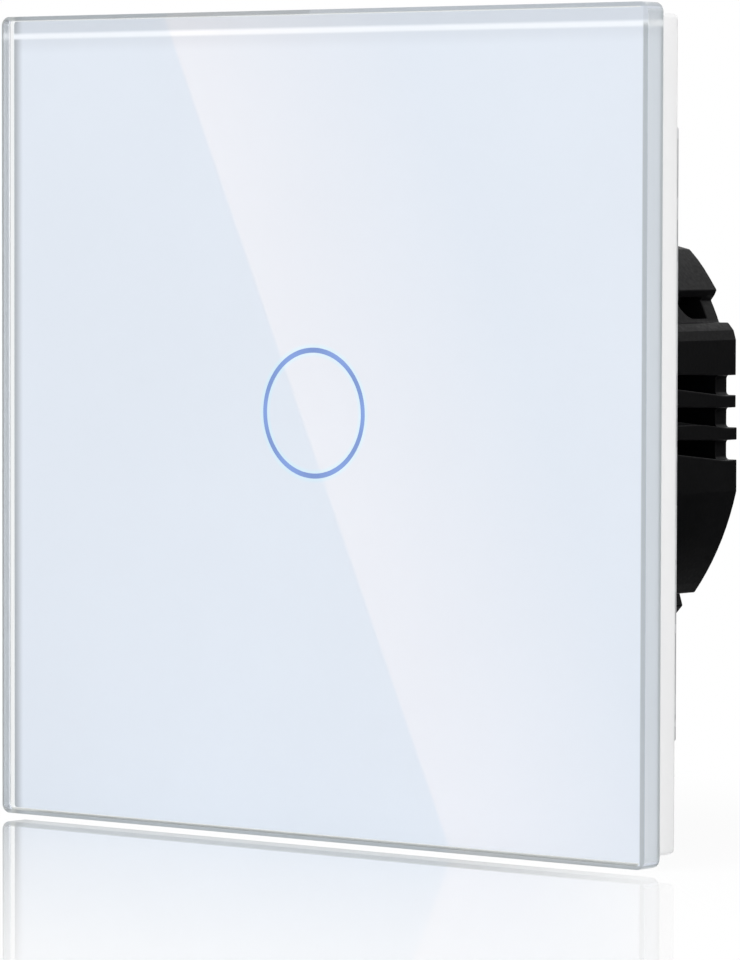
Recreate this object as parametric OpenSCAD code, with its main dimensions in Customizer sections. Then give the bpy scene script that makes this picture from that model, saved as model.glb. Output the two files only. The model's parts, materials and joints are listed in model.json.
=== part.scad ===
// Touch light switch for a round wall box, in millimetres.
// X points right, Z up, the front faces -Y, and the wall plane is Y = 0.

/* [Glass panel] */
// Width and height of the square glass
panel_w = 86; // [84:0.5:90]
// Thickness of the glass
glass_t = 3; // [2.6:0.1:4]
// Corner radius of the glass
glass_r = 1; // [0.6:0.1:2]
// Width of the edge chamfer on the faces of the glass
glass_chamfer = 0.4; // [0.2:0.05:0.5]
// Depth of the edge chamfer on the sides of the glass
chamfer_deep = 0.2; // [0.1:0.05:0.5]
// Thickness of the white coating
print_t = 0.15; // [0.1:0.05:0.3]
// Distance from the glass edge to the coating
print_inset = 0.5; // [0.4:0.1:2]
// Outer diameter of the light ring
ring_d = 13.6; // [13:0.1:14.4]
// Line width of the light ring
ring_line = 0.48; // [0.3:0.02:0.8]
// Ring centre to the right of the panel centre
touch_x = -0.7; // [-2:0.1:2]
// Ring centre above the panel centre
touch_z = 1.3; // [-2:0.1:2]

/* [Panel frame] */
// Distance from the glass edge to the frame
frame_inset = 1; // [0.5:0.1:1.5]
// Depth of the frame
frame_depth = 3.5; // [3.4:0.1:4.5]
// Thickness of the frame's outer wall
frame_wall = 2; // [1.6:0.1:2.4]
// Thickness of the frame's front web
web_t = 1.2; // [1:0.1:1.3]
// Corner radius of the frame
frame_r = 0.5; // [0.5:0.1:2]
// Thickness of the bonding tape
tape_t = 0.35; // [0.3:0.05:0.6]
// Distance from the frame edge to the tape
tape_inset = 1.5; // [1:0.1:2.5]
// Width of the bonding tape
tape_w = 4; // [3:0.1:6]
// Length of a gripping blade
blade_l = 6; // [4:0.5:8]
// Thickness of a gripping blade
blade_t = 1.6; // [1.2:0.1:2]
// Width of the prying notch
notch_w = 8; // [5:0.5:12]

/* [Mounting plate] */
// Distance from the frame edge to the plate edge
plate_inset = 0.8; // [0.3:0.1:1.5]
// Thickness of the plate
plate_t = 1; // [0.8:0.1:1.2]
// Length cut off each edge at a corner
plate_cut = 10.6; // [8:0.2:14]
// Distance between the wall box screws
box_pitch = 60; // [59.6:0.2:61]
// Width of a wall box slot
slot_w = 3.6; // [3.2:0.1:4]
// Overall length of a wall box slot
slot_l = 5; // [4.4:0.1:5.4]

/* [Housing] */
// Diameter of the round body
body_d = 56.4; // [55:0.2:57]
// Width of the body across its top and bottom flats
body_flat = 49.2; // [48:0.2:49.6]
// Depth of the body behind the wall plane
body_depth = 28.5; // [27.5:0.5:32]
// Thickness of the side wall
wall_t = 1.6; // [1.4:0.1:1.8]
// Thickness of the back wall
back_t = 2; // [1.6:0.1:2.4]
// Height of the side pads above the round body
pad_h = 0.8; // [0.5:0.1:1]
// Height of a vent slot at the back
vent_h = 2.1; // [1.8:0.1:2.5]
// Length of a vent slot
vent_l = 14.5; // [12:0.5:15]
// Distance between vent slots
vent_pitch = 3.4; // [3.2:0.1:3.6]
// Overlap of the flange on the plate
flange_lap = 1.6; // [1.2:0.1:1.8]
// Thickness of the front cover
cover_t = 1.4; // [1.3:0.1:1.5]
// Thread diameter of the cover screws
cover_screw_d = 2.5; // [2:0.1:2.6]

/* [Electronics] */
// Thickness of the circuit boards
board_t = 1.6; // [1.4:0.1:1.6]
// Room behind the power board
part_room = 16.5; // [16.3:0.1:17.5]
// Thread diameter of the board screws
board_screw_d = 1.8; // [1.6:0.1:2]
// Side of a connector pin
pin_w = 0.64; // [0.5:0.02:0.7]
// Diameter of the touch pad
touch_pad_d = 9.2; // [8:0.1:9.6]
// Number of lamps under the ring
led_count = 6; // [4:1:8]

/* [Relay] */
// Width of the relay
relay_w = 10.2; // [10:0.1:10.8]
// Length of the relay
relay_l = 18.4; // [18.2:0.1:19]
// Height of the relay
relay_h = 15.4; // [15.2:0.1:15.8]
// Diameter of the relay coil
coil_d = 7.2; // [6:0.1:7.6]

/* [Terminals] */
// Distance between neighbouring terminals
terminal_pitch = 7.6; // [7.4:0.1:8]
// Diameter of a wire entry
wire_d = 3.8; // [3.4:0.1:4]
// Thread diameter of a terminal screw
screw_d = 3; // [2.6:0.1:3]
// Head diameter of a terminal screw
head_d = 4.8; // [4.4:0.1:5]
// Stroke of a clamping cage
cage_travel = 3; // [2.5:0.1:3]
// Width of a clamping cage
cage_w = 5.8; // [5.6:0.1:5.9]

/* [Clearances] */
// Play between a turning shaft and its hole
run_gap = 0.06; // [0.04:0.01:0.08]
// Play beside a sliding piece
slide_gap = 0.15; // [0.1:0.01:0.2]
// Play around a piece dropped into its seat
seat_gap = 0.2; // [0.1:0.05:0.3]
// Play between the panel and the base behind it
touch_gap = 0.2; // [0.1:0.05:0.3]

/* [Hidden] */
$fn = 96;
eps = 0.01;

// Layers from the wall to the front
plate_front = -plate_t;
flange_front = plate_front - board_t;
cover_front = flange_front - cover_t;
frame_front = plate_front - frame_depth;
web_back = frame_front + web_t;
tape_front = frame_front - tape_t;
glass_back = tape_front - print_t;
glass_front = glass_back - glass_t;
guide_front = tape_front + touch_gap;

// Panel frame and plate
frame_w = panel_w - 2 * frame_inset;
plate_w = frame_w - 2 * plate_inset;
tape_outer = frame_w - 2 * tape_inset;
ring_r = ring_d / 2;

// Housing radii
body_r = body_d / 2;
pad_r = body_r + pad_h;
lug_r = pad_r + 0.2;
pad_flat = pad_r - 0.7;
pad_arc = pad_r + 0.33;
pad_low = -pad_r * sin(40);
pad_corner = [[0, 8.8], [-0.3, 9.8], [-1, 10.6]];
pad_root = body_r - 8.2;
lug_edge = [
    [27, -0.3], [27.8, 0.62], [28.5, 1.15], [31.7, 1], [34, 0.92], [36.5, 0.8], [38.7, 0.64], [41.5, 0.45],
    [44, 0.2]
];
nub_angles = [-56, -41];
nub_cut = [[-36.84, 1.9], [-40.6, -0.36], [-42.25, 0.98], [-40.7, 1.9]];
lug_cut = [[39, 0.75], [42.1, -0.4], [45, -0.55], [48.5, -0.55], [49.5, 1.6], [40.6, 2.4]];
window_r = 2.2;
vent_deep = 1.25;
vent_r = 0.4;
vent_rise = [0.1, 0.03];
cavity_r = body_r - wall_t;
cavity_flat = body_flat - 2 * wall_t;
plate_hole_r = lug_r + 0.4;
plate_hole_flat = body_flat + 0.6;
flange_r = plate_hole_r + flange_lap;
flange_flat = plate_hole_flat + 2 * flange_lap;
ear_r = 3.6;
ear_pos = (flange_r + 0.8) / sqrt(2);
opening_w = 2 * (flange_r + 1);
inner_back = body_depth - back_t;
pad_start = 3;
seat_depth = 0.7;

// Clips and blades, centred between the opening and the outer wall
clip_x = (opening_w / 2 + frame_w / 2 - frame_wall) / 2;
clip_z = 14;
clip_t = 0.4;
clip_front = web_back + touch_gap;
clip_foot = plate_front - clip_t;

// Boards
power_rear = inner_back - part_room;
power_front = power_rear - board_t;
post_r = 2.6;
post_circle = cavity_r - post_r + 0.4;
post_angles = [35, 145, 215, 325];
header_z = 18;
header_pitch = 2.54;
header_count = 4;
header_w = 2.5;
header_h = 2.5;
header_split = plate_front + header_h;
smd = [1.6, 0.6, 0.8];
sensor_part_x = [0, -3.5, 12.5];
sensor_part_z = [-9, -6];
power_part_x = [-2, -5, 11];
power_part_z = [0, -3];
chip_size = [5, 1.5, 3.9];
chip_stand = 0.1;
leg_pitch = 1.27;
leg_size = [0.4, 0.5, 1];
touch_chip_at = [7, -9];
supply_chip_at = [5, -1];
board_head_h = 1.2;
board_head_lap = 0.9;
board_screw_in = 5.5;
cover_head_h = 0.9;
cover_head_lap = 1;
recess_w = 0.6;
recess_depth = 0.5;
lead_r = 0.35;
varistor_at = [16.4, 4];
varistor_r = 4.5;
varistor_t = 3.4;
varistor_y = power_rear + varistor_r + 1.1;
varistor_lead = 2;
film_at = [-3.4, -3];
film_size = [6, 12.4];
film_h = 11;
film_r = 0.5;
can_r = 4;
can_h = 12;
can_1_at = [5.2, -6.6];
can_2_at = [14.4, -6];
can_rim = 0.4;
can_crimp = 0.3;
bridge_at = [-0.4, 16.2];
bridge_size = [6, 2.6, 4.4];
bridge_leg = [0.8, 0.4, 1.2];

// Light guide
guide_r = ring_r + 1.2;
guide_bore = ring_r - 1.6;
collar_r = guide_r + 1.1;
collar_front = flange_front - 0.9;
led_top = flange_front - 0.5;

// Terminals
head_h = 1.6;
head_room = 0.3;
ledge = inner_back - head_room - head_h;
ledge_t = 0.8;
cage_wall = 1;
cage_l = 6;
cage_h = 8.2;
bar_t = 1;
mouth_l = 3.1;
terminal_bottom = -body_flat / 2 + 0.1;
cavity_bottom = terminal_bottom + mouth_l;
cavity_half = cage_w / 2 + slide_gap;
cavity_top = cavity_bottom + cage_l + 2 * slide_gap;
terminal_top = cavity_top + 1.7;
cage_rear = ledge - ledge_t - slide_gap - cage_travel;
cage_front = cage_rear - cage_h;
cage_bottom = cavity_bottom + slide_gap;
bar_rear = cage_rear - cage_wall - 0.8;
bar_front = bar_rear - bar_t;
bar_half = cage_w / 2 - 1.1;
wire_y = (cage_front + cage_wall + bar_front) / 2;
screw_z = cage_bottom + cage_l / 2;
block_half = terminal_pitch + cavity_half + 0.9;

// Relay, measured from its centre on the power board
relay_x = -13.1;
relay_z = -0.2;
relay_wall = 0.6;
relay_half = relay_w / 2 - relay_wall;
relay_low = relay_z - relay_l / 2 + relay_wall;
relay_high = relay_z + relay_l / 2 - relay_wall;
relay_base_t = 1.4;
relay_floor = power_rear + relay_base_t;
yoke_t = 1;
bobbin_floor = relay_floor + yoke_t;
flange_thin = 0.8;
coil_len = 7.4;
bobbin_top = bobbin_floor + coil_len + 2 * flange_thin;
pole_face = bobbin_top + 0.4;
pole_r = 1.5;
coil_edge = 4.5;
coil_z = relay_low + coil_edge;
yoke_span = 5.4;
yoke_z = coil_z + yoke_span;
yoke_half = 3.4;
yoke_foot = 3;
armature_half = yoke_half - 0.2;
armature_reach = 2.6;
yoke_top = pole_face + 0.55;
armature_gap = 0.05;
armature_low = yoke_top + armature_gap;
pivot_r = 0.25;
pivot_z = yoke_z + yoke_t / 2;
armature_t = 1;
arm_out = 1.1;
arm_z = yoke_z + yoke_t + arm_out;
arm_t = 0.3;
contact_rise = 3.4;
contact_y = relay_floor + contact_rise;
contact_r = 1.1;
contact_t = 0.5;
contact_gap = 0.62;
contact_half = 1.5;
arm_half = 1.6;
post_t = 0.5;
fixed_z = arm_z + arm_t + contact_t + contact_gap;

// Pushes an outline drawn in X and Z from depth y0 to depth y1
module slab(y0, y1)
    translate([0, y1, 0])
        rotate([90, 0, 0])
            linear_extrude(height = y1 - y0)
                children();

// Round bar along Y
module rod(x, z, y0, y1, r)
    translate([x, y1, z])
        rotate([90, 0, 0])
            cylinder(h = y1 - y0, r = r);

// Box between two corners
module block(a, b)
    translate(a)
        cube(b - a);

// Square outline with round corners
module rounded_square(w, h, r) {
    square([w - 2 * r, h], center = true);
    square([w, h - 2 * r], center = true);
    for (x = [-1, 1], z = [-1, 1])
        translate([x * (w / 2 - r), z * (h / 2 - r)])
            circle(r);
}

// Disc cut to a given width across top and bottom
module flatted_disc(r, flat)
    intersection() {
        circle(r);
        square([2 * r + 2, flat], center = true);
    }

// Wedge between two angles, wider than any outline it cuts
module wedge(a0, a1)
    polygon([
        [0, 0],
        40 * [cos(a0), sin(a0)],
        48 * [cos((a0 + a1) / 2), sin((a0 + a1) / 2)],
        40 * [cos(a1), sin(a1)]
    ]);

module ring(outer, inner)
    difference() {
        circle(outer);
        circle(inner);
    }

module each_corner(x, z)
    for (sx = [-1, 1], sz = [-1, 1])
        translate([sx * x, sz * z])
            children();

module both_sides() {
    children();
    mirror([1, 0, 0])
        children();
}

// Side view of the glass edge: a bar with four chamfers
function glass_profile() = let (h = panel_w / 2, c = glass_chamfer, d = chamfer_deep) [
    [glass_front, c - h], [glass_front, h - c], [glass_front + d, h], [glass_back - d, h],
    [glass_back, h - c], [glass_back, c - h], [glass_back - d, -h], [glass_front + d, -h]
];

module glass_panel()
    color([0.86, 0.93, 0.95, 0.5])
        intersection() {
            slab(glass_front, glass_back)
                rounded_square(panel_w, panel_w, glass_r);
            translate([-panel_w, 0, 0])
                rotate([90, 0, 90])
                    linear_extrude(height = 2 * panel_w)
                        polygon(glass_profile());
            translate([0, 0, -panel_w])
                linear_extrude(height = 2 * panel_w)
                    polygon([for (p = glass_profile()) [p[1], p[0]]]);
        }

module back_print()
    color([0.95, 0.96, 0.98])
        slab(glass_back, tape_front)
            difference() {
                square(panel_w - 2 * print_inset, center = true);
                translate([touch_x, touch_z])
                    ring(ring_r, ring_r - ring_line);
            }

module ring_window()
    color([0.45, 0.6, 0.9])
        slab(glass_back, tape_front)
            translate([touch_x, touch_z])
                ring(ring_r, ring_r - ring_line);

module bonding_tape()
    color([0.85, 0.85, 0.83])
        slab(tape_front, frame_front)
            difference() {
                square(tape_outer, center = true);
                square(tape_outer - 2 * tape_w, center = true);
            }

module panel_frame()
    color([0.93, 0.93, 0.92])
        union() {
            difference() {
                slab(frame_front, plate_front)
                    rounded_square(frame_w, frame_w, frame_r);
                slab(web_back, plate_front + 1)
                    square(frame_w - 2 * frame_wall, center = true);
                slab(frame_front - 1, web_back + 1)
                    rounded_square(opening_w, opening_w, 4);
                block(
                    [-notch_w / 2, plate_front - 1.2, -frame_w / 2 - 1],
                    [notch_w / 2, plate_front + 1, -frame_w / 2 + frame_wall + 1]
                );
            }
            slab(web_back - eps, clip_foot - touch_gap)
                each_corner(clip_x, clip_z)
                    square([blade_t, blade_l], center = true);
        }

module mounting_plate()
    color([0.72, 0.74, 0.76])
        slab(plate_front, 0)
            difference() {
                intersection() {
                    square(plate_w, center = true);
                    rotate(45)
                        square((plate_w - plate_cut) * sqrt(2), center = true);
                }
                flatted_disc(plate_hole_r, plate_hole_flat);
                for (s = [-1, 1])
                    translate([0, s * box_pitch / 2]) {
                        square([slot_w, slot_l - slot_w], center = true);
                        for (e = [-1, 1])
                            translate([0, e * (slot_l - slot_w) / 2])
                                circle(slot_w / 2);
                    }
                each_corner(ear_pos, ear_pos)
                    circle(cover_screw_d / 2 + 0.05);
            }

module frame_clips()
    color([0.6, 0.62, 0.65])
        for (sx = [-1, 1], sz = [-1, 1])
            translate([sx * clip_x, 0, sz * clip_z])
                difference() {
                    slab(clip_front, plate_front)
                        square([blade_t + 2 * (run_gap + clip_t), blade_l - 1], center = true);
                    slab(clip_front - 1, clip_foot)
                        square([blade_t + 2 * run_gap, blade_l + 1], center = true);
                }

module flange_outline() {
    flatted_disc(flange_r, flange_flat);
    each_corner(ear_pos, ear_pos)
        circle(ear_r);
}

// A point given by its angle and its height above the module's round wall
function on_body(p) = (body_r + p[1]) * [cos(p[0]), sin(p[0])];

// Raised pads of one side: long lower pad, square upper end, roof lug and lower nub
module pad_outline() {
    intersection() {
        circle(pad_arc);
        wedge(-50, 0);
        translate([pad_root, pad_low])
            square([pad_flat + 0.15 - pad_root, -2 * pad_low]);
    }
    polygon(concat(
        [[pad_root, -1], [pad_flat, -1]],
        [for (p = pad_corner) [pad_flat + p[0], p[1]]],
        [[pad_root, pad_corner[2][1]]]
    ));
    polygon(concat(
        [[pad_root, on_body(lug_edge[0])[1]]],
        [for (p = lug_edge) on_body(p)],
        [[pad_root - 1, on_body(lug_edge[0])[1] + 5]]
    ));
    intersection() {
        circle(pad_r + 0.1);
        wedge(nub_angles[0], nub_angles[1]);
    }
}

// Vents of one side: slots that narrow towards the front, each with a channel to the back
module vents()
    for (i = [-1, 0, 1])
        translate([0, 0, 0.63 + i * vent_pitch]) {
            translate([20, inner_back, 0])
                rotate([90, 0, 90])
                    linear_extrude(height = 20)
                        polygon([
                            [0, -vent_h / 2], [0, vent_h / 2],
                            [-vent_l, vent_h / 2 + vent_rise[1] * vent_l],
                            [-vent_l, -vent_h / 2 + vent_rise[0] * vent_l]
                        ]);
            slab(inner_back - eps, body_depth + 1)
                translate([pad_flat + 1, 0])
                    rounded_square(2 * (vent_deep + 1), vent_h, vent_r);
        }

// Window of one side with a round front corner
module side_window()
    translate([20, 0, 0])
        rotate([90, 0, 90])
            linear_extrude(height = 20)
                union() {
                    translate([inner_back - window_r, 11])
                        square([window_r, window_r + 0.1]);
                    intersection() {
                        translate([inner_back - window_r, 11 + window_r])
                            circle(window_r);
                        translate([inner_back - 2 * window_r - 1, 10])
                            square([window_r + 1.5, window_r + 1.1]);
                    }
                }

module rear_housing()
    color([0.09, 0.09, 0.1])
        difference() {
            union() {
                difference() {
                    union() {
                        slab(flange_front, plate_front)
                            flange_outline();
                        slab(plate_front - eps, body_depth)
                            flatted_disc(body_r, body_flat);
                        both_sides()
                            slab(pad_start, body_depth)
                                pad_outline();
                    }
                    slab(flange_front - 1, plate_front)
                        flatted_disc(cavity_r + seat_depth, cavity_flat + 2 * seat_depth);
                    slab(plate_front - 1, inner_back)
                        flatted_disc(cavity_r, cavity_flat);
                    both_sides() {
                        vents();
                        side_window();
                        slab(pad_start, body_depth + 1)
                            for (cut = [lug_cut, nub_cut])
                                polygon([for (p = cut) on_body(p)]);
                    }
                }
                for (a = post_angles)
                    rod(post_circle * cos(a), post_circle * sin(a), power_rear,
                        inner_back + eps, post_r);
            }
            for (a = post_angles)
                rod(post_circle * cos(a), post_circle * sin(a), power_rear - 1,
                    power_rear + board_screw_in + 0.5, board_screw_d / 2 + 0.05);
            for (i = [-1, 0, 1])
                rod(i * terminal_pitch, screw_z, inner_back - 1, body_depth + 1,
                    head_d / 2 - 0.4);
            block(
                [-block_half - seat_gap, power_rear - seat_gap, -body_flat],
                [block_half + seat_gap, ledge + seat_gap, cavity_bottom]
            );
            slab(flange_front - 1, plate_front + 1)
                each_corner(ear_pos, ear_pos)
                    circle(cover_screw_d / 2 + 0.15);
        }

module front_cover()
    color([0.11, 0.11, 0.12])
        difference() {
            slab(cover_front, flange_front)
                flange_outline();
            rod(touch_x, touch_z, cover_front - 1, flange_front + 1, guide_r + 0.1);
            rod(touch_x, touch_z, collar_front, flange_front + 1, collar_r + 0.1);
            slab(cover_front - 1, flange_front + 1)
                each_corner(ear_pos, ear_pos)
                    circle(cover_screw_d / 2 + 0.15);
            slab(cover_front - 1, cover_front + cover_head_h)
                each_corner(ear_pos, ear_pos)
                    circle(cover_screw_d / 2 + cover_head_lap + 0.1);
        }

// Cross recess for a screwdriver, cut from depth y0 to depth y1
module cross_recess(x, z, y0, y1, size) {
    block([x - size, y0, z - recess_w / 2], [x + size, y1, z + recess_w / 2]);
    block([x - recess_w / 2, y0, z - size], [x + recess_w / 2, y1, z + size]);
}

module cover_screws()
    color([0.7, 0.7, 0.72])
        for (sx = [-1, 1], sz = [-1, 1])
            difference() {
                union() {
                    rod(sx * ear_pos, sz * ear_pos, cover_front, cover_front + cover_head_h,
                        cover_screw_d / 2 + cover_head_lap);
                    rod(sx * ear_pos, sz * ear_pos, cover_front, -0.1, cover_screw_d / 2);
                }
                cross_recess(sx * ear_pos, sz * ear_pos, cover_front - 1,
                    cover_front + recess_depth, cover_screw_d / 2 + 0.05);
            }

module light_guide()
    color([0.9, 0.93, 0.97])
        translate([touch_x, 0, touch_z])
            rotate([90, 0, 0])
                rotate_extrude()
                    polygon([
                        [guide_bore, -led_top], [collar_r - 0.8, -led_top],
                        [collar_r - 0.8, -flange_front], [collar_r, -flange_front],
                        [collar_r, -collar_front], [guide_r, -collar_front],
                        [guide_r, -cover_front], [ring_r + 0.4, -cover_front],
                        [ring_r + 0.4, -guide_front], [ring_r - ring_line - 0.4, -guide_front],
                        [ring_r - ring_line - 0.4, -cover_front], [guide_bore, -cover_front]
                    ]);

module touch_pad()
    color([0.2, 0.2, 0.21])
        rod(touch_x, touch_z, guide_front, flange_front, touch_pad_d / 2);

module pin_places()
    for (i = [0 : header_count - 1])
        translate([(i - (header_count - 1) / 2) * header_pitch, header_z])
            children();

module sensor_board()
    color([0.05, 0.3, 0.16])
        slab(flange_front, plate_front)
            difference() {
                flatted_disc(cavity_r + seat_depth - seat_gap,
                    cavity_flat + 2 * (seat_depth - seat_gap));
                pin_places()
                    square(pin_w + 0.1, center = true);
            }

module indicator_leds()
    color([0.8, 0.85, 0.95])
        for (i = [0 : led_count - 1])
            translate([touch_x, 0, touch_z])
                rotate([0, (i + 0.5) * 360 / led_count, 0])
                    translate([ring_r - ring_line / 2, 0, 0])
                        block([-0.4, led_top, -0.8], [0.4, flange_front, 0.8]);

// Chip with four legs on each long side, standing on the plane y = 0
module chip() {
    block(
        [-chip_size[0] / 2, chip_stand, -chip_size[2] / 2],
        [chip_size[0] / 2, chip_size[1], chip_size[2] / 2]
    );
    for (i = [-1.5 : 1.5])
        translate([i * leg_pitch, 0, 0])
            block(
                [-leg_size[0] / 2, 0, -chip_size[2] / 2 - leg_size[2]],
                [leg_size[0] / 2, leg_size[1], chip_size[2] / 2 + leg_size[2]]
            );
}

module touch_chip()
    color([0.1, 0.1, 0.1])
        translate([touch_chip_at[0], plate_front, touch_chip_at[1]])
            chip();

// Small parts in columns and rows
module small_parts(columns, rows)
    for (x = columns, z = rows)
        translate([x, 0, z])
            block([-smd[0] / 2, 0, -smd[2] / 2], [smd[0] / 2, smd[1], smd[2] / 2]);

module sensor_parts()
    color([0.55, 0.42, 0.3])
        translate([0, plate_front, 0])
            small_parts(sensor_part_x, sensor_part_z);

module header_outline()
    translate([0, header_z])
        square([header_count * header_pitch, header_w], center = true);

module header_body()
    color([0.08, 0.08, 0.08])
        slab(plate_front, header_split)
            difference() {
                header_outline();
                pin_places()
                    square(pin_w, center = true);
            }

module header_pins()
    color([0.85, 0.7, 0.35])
        slab(flange_front + 0.1, power_front - 1)
            pin_places()
                square(pin_w, center = true);

module header_socket()
    color([0.07, 0.07, 0.07])
        difference() {
            slab(header_split, power_front)
                header_outline();
            slab(header_split - 1, power_front - 0.6)
                pin_places()
                    square(pin_w + 0.1, center = true);
        }

module power_board()
    color([0.06, 0.28, 0.17])
        slab(power_front, power_rear)
            difference() {
                flatted_disc(cavity_r - seat_gap, cavity_flat - 2 * seat_gap);
                for (a = post_angles)
                    translate(post_circle * [cos(a), sin(a)])
                        circle(board_screw_d / 2 + 0.1);
            }

module board_screws()
    color([0.7, 0.7, 0.72])
        for (a = post_angles)
            difference() {
                union() {
                    rod(post_circle * cos(a), post_circle * sin(a), power_front - board_head_h,
                        power_front, board_screw_d / 2 + board_head_lap);
                    rod(post_circle * cos(a), post_circle * sin(a), power_front - board_head_h,
                        power_rear + board_screw_in, board_screw_d / 2);
                }
                cross_recess(post_circle * cos(a), post_circle * sin(a), power_front - 3,
                    power_front - board_head_h + recess_depth, board_screw_d / 2 + 0.1);
            }

module supply_chip()
    color([0.1, 0.1, 0.1])
        translate([supply_chip_at[0], power_front, supply_chip_at[1]])
            mirror([0, 1, 0])
                chip();

module power_parts()
    color([0.5, 0.4, 0.3])
        translate([0, power_front - smd[1], 0])
            small_parts(power_part_x, power_part_z);

// Fuse along X, with its caps standing on the board
fuse_x = -8;
fuse_rise = 2.6;
fuse_y = power_rear + fuse_rise;
fuse_z = 15.5;
fuse_r = 1.6;
fuse_l = 8;
fuse_cap_t = 0.3;
fuse_cap_l = 1.5;
fuse_leg = 0.5;

module fuse_rod(l, r)
    translate([fuse_x - l / 2, fuse_y, fuse_z])
        rotate([0, 90, 0])
            cylinder(h = l, r = r);

module line_fuse()
    color([0.88, 0.86, 0.8])
        fuse_rod(fuse_l, fuse_r);

module fuse_caps()
    color([0.78, 0.78, 0.8])
        difference() {
            union() {
                fuse_rod(fuse_l + 2 * fuse_cap_t, fuse_r + fuse_cap_t);
                for (s = [-1, 1])
                    rod(fuse_x + s * (fuse_l / 2 - fuse_leg), fuse_z, power_rear, fuse_y, 0.8 * fuse_leg);
            }
            fuse_rod(fuse_l, fuse_r);
            fuse_rod(fuse_l - 2 * fuse_cap_l, 2 * fuse_r);
        }

module varistor()
    color([0.1, 0.25, 0.6])
        union() {
            translate([varistor_at[0], varistor_y, varistor_at[1]])
                rotate([0, 90, 0])
                    cylinder(h = varistor_t, r = varistor_r);
            for (s = [-1, 1])
                rod(varistor_at[0] + varistor_t / 2, varistor_at[1] + s * varistor_lead,
                    power_rear, varistor_y - varistor_lead, lead_r);
        }

module film_capacitor()
    color([0.55, 0.56, 0.58])
        slab(power_rear, power_rear + film_h)
            translate(film_at)
                rounded_square(film_size[0], film_size[1], film_r);

// Can of a smoothing capacitor, with a crimp near its foot and a rim round its top
module can(at) {
    crimp_y = 4.5 * can_rim;
    translate([at[0], power_rear, at[1]])
        rotate([-90, 0, 0])
            rotate_extrude()
                polygon([
                    [0, 0], [can_r - can_crimp, 0], [can_r, can_rim], [can_r, crimp_y - can_rim],
                    [can_r - can_crimp, crimp_y], [can_r, crimp_y + can_rim],
                    [can_r, can_h - can_rim], [can_r - can_rim, can_h],
                    [can_r - 2 * can_rim, can_h], [can_r - 2 * can_rim, can_h - can_crimp],
                    [0, can_h - can_crimp]
                ]);
}

module smoothing_capacitors()
    color([0.12, 0.14, 0.2]) {
        can(can_1_at);
        can(can_2_at);
    }

module bridge_rectifier()
    color([0.12, 0.12, 0.12])
        translate([bridge_at[0], power_rear, bridge_at[1]]) {
            translate([-bridge_size[0] / 2, 0, -bridge_size[2] / 2])
                cube(bridge_size);
            for (sx = [-1, 1], sz = [-1, 1])
                translate([sx * bridge_size[0] / 3, 0, sz * (bridge_size[2] + bridge_leg[0]) / 2])
                    translate([-bridge_leg[0] / 2, 0, -bridge_leg[2] / 2])
                        cube(bridge_leg);
        }

// Transformer, measured from its centre on the power board
coil_at = [9, power_rear + 0.8, 8.2];
core_half = [6.5, 3];
leg_half = 1.6;
window_half = 4.9;
core_h = 11;
core_end = 1.8;
tube_t = 0.6;
bobbin_half = [4.7, 5.2];

// Box around the transformer axis from height y0 to height y1
module coil_box(x, z, y0, y1)
    block([-x, y0, -z], [x, y1, z]);

module transformer_core()
    color([0.25, 0.25, 0.26])
        translate(coil_at)
            difference() {
                coil_box(core_half[0], core_half[1], 0, core_h);
                for (s = [-1, 1])
                    translate([s * (leg_half + window_half) / 2, 0, 0])
                        coil_box((window_half - leg_half) / 2, 9, core_end, core_h - core_end);
            }

module transformer_bobbin()
    color([0.15, 0.15, 0.15])
        translate(coil_at)
            difference() {
                union() {
                    for (y = [core_end, core_h - core_end - 0.8])
                        coil_box(bobbin_half[0], bobbin_half[1], y, y + 0.8);
                    coil_box(leg_half + tube_t, core_half[1] + tube_t, core_end, core_h - core_end);
                    for (s = [-1, 1])
                        translate([0, 0, s * (bobbin_half[1] + core_half[1]) / 2])
                            coil_box(bobbin_half[0], (bobbin_half[1] - core_half[1]) / 2,
                                -0.8, core_end + 0.8);
                }
                coil_box(leg_half, core_half[1], core_end - 1, core_h);
            }

module transformer_winding()
    color([0.75, 0.6, 0.15])
        translate(coil_at)
            slab(core_end + 0.8, core_h - core_end - 0.8)
                difference() {
                    rounded_square(2 * bobbin_half[0] - 1, 2 * bobbin_half[1] - 0.6, 1.4);
                    square(2 * [leg_half + tube_t, core_half[1] + tube_t], center = true);
                }

module relay_base()
    color([0.12, 0.12, 0.13])
        block(
            [relay_x - relay_half, power_rear, relay_low],
            [relay_x + relay_half, relay_floor, relay_high]
        );

module relay_case()
    color([0.12, 0.3, 0.55])
        difference() {
            block(
                [relay_x - relay_w / 2, power_rear, relay_z - relay_l / 2],
                [relay_x + relay_w / 2, power_rear + relay_h, relay_z + relay_l / 2]
            );
            block(
                [relay_x - relay_half, power_rear - 1, relay_low],
                [relay_x + relay_half, power_rear + relay_h - relay_wall, relay_high]
            );
        }

// Round bar across the relay on the armature's hinge line
module pivot_bar(half, r)
    translate([relay_x - half, armature_low, pivot_z])
        rotate([0, 90, 0])
            cylinder(h = 2 * half, r = r);

module relay_yoke()
    color([0.6, 0.6, 0.62])
        difference() {
            union() {
                block(
                    [relay_x - yoke_half, relay_floor, coil_z - yoke_foot],
                    [relay_x + yoke_half, bobbin_floor, yoke_z + yoke_t]
                );
                block(
                    [relay_x - yoke_half, relay_floor, yoke_z],
                    [relay_x + yoke_half, yoke_top, yoke_z + yoke_t]
                );
                rod(relay_x, coil_z, relay_floor, pole_face, pole_r);
            }
            pivot_bar(yoke_half + 1, pivot_r + run_gap);
        }

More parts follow.
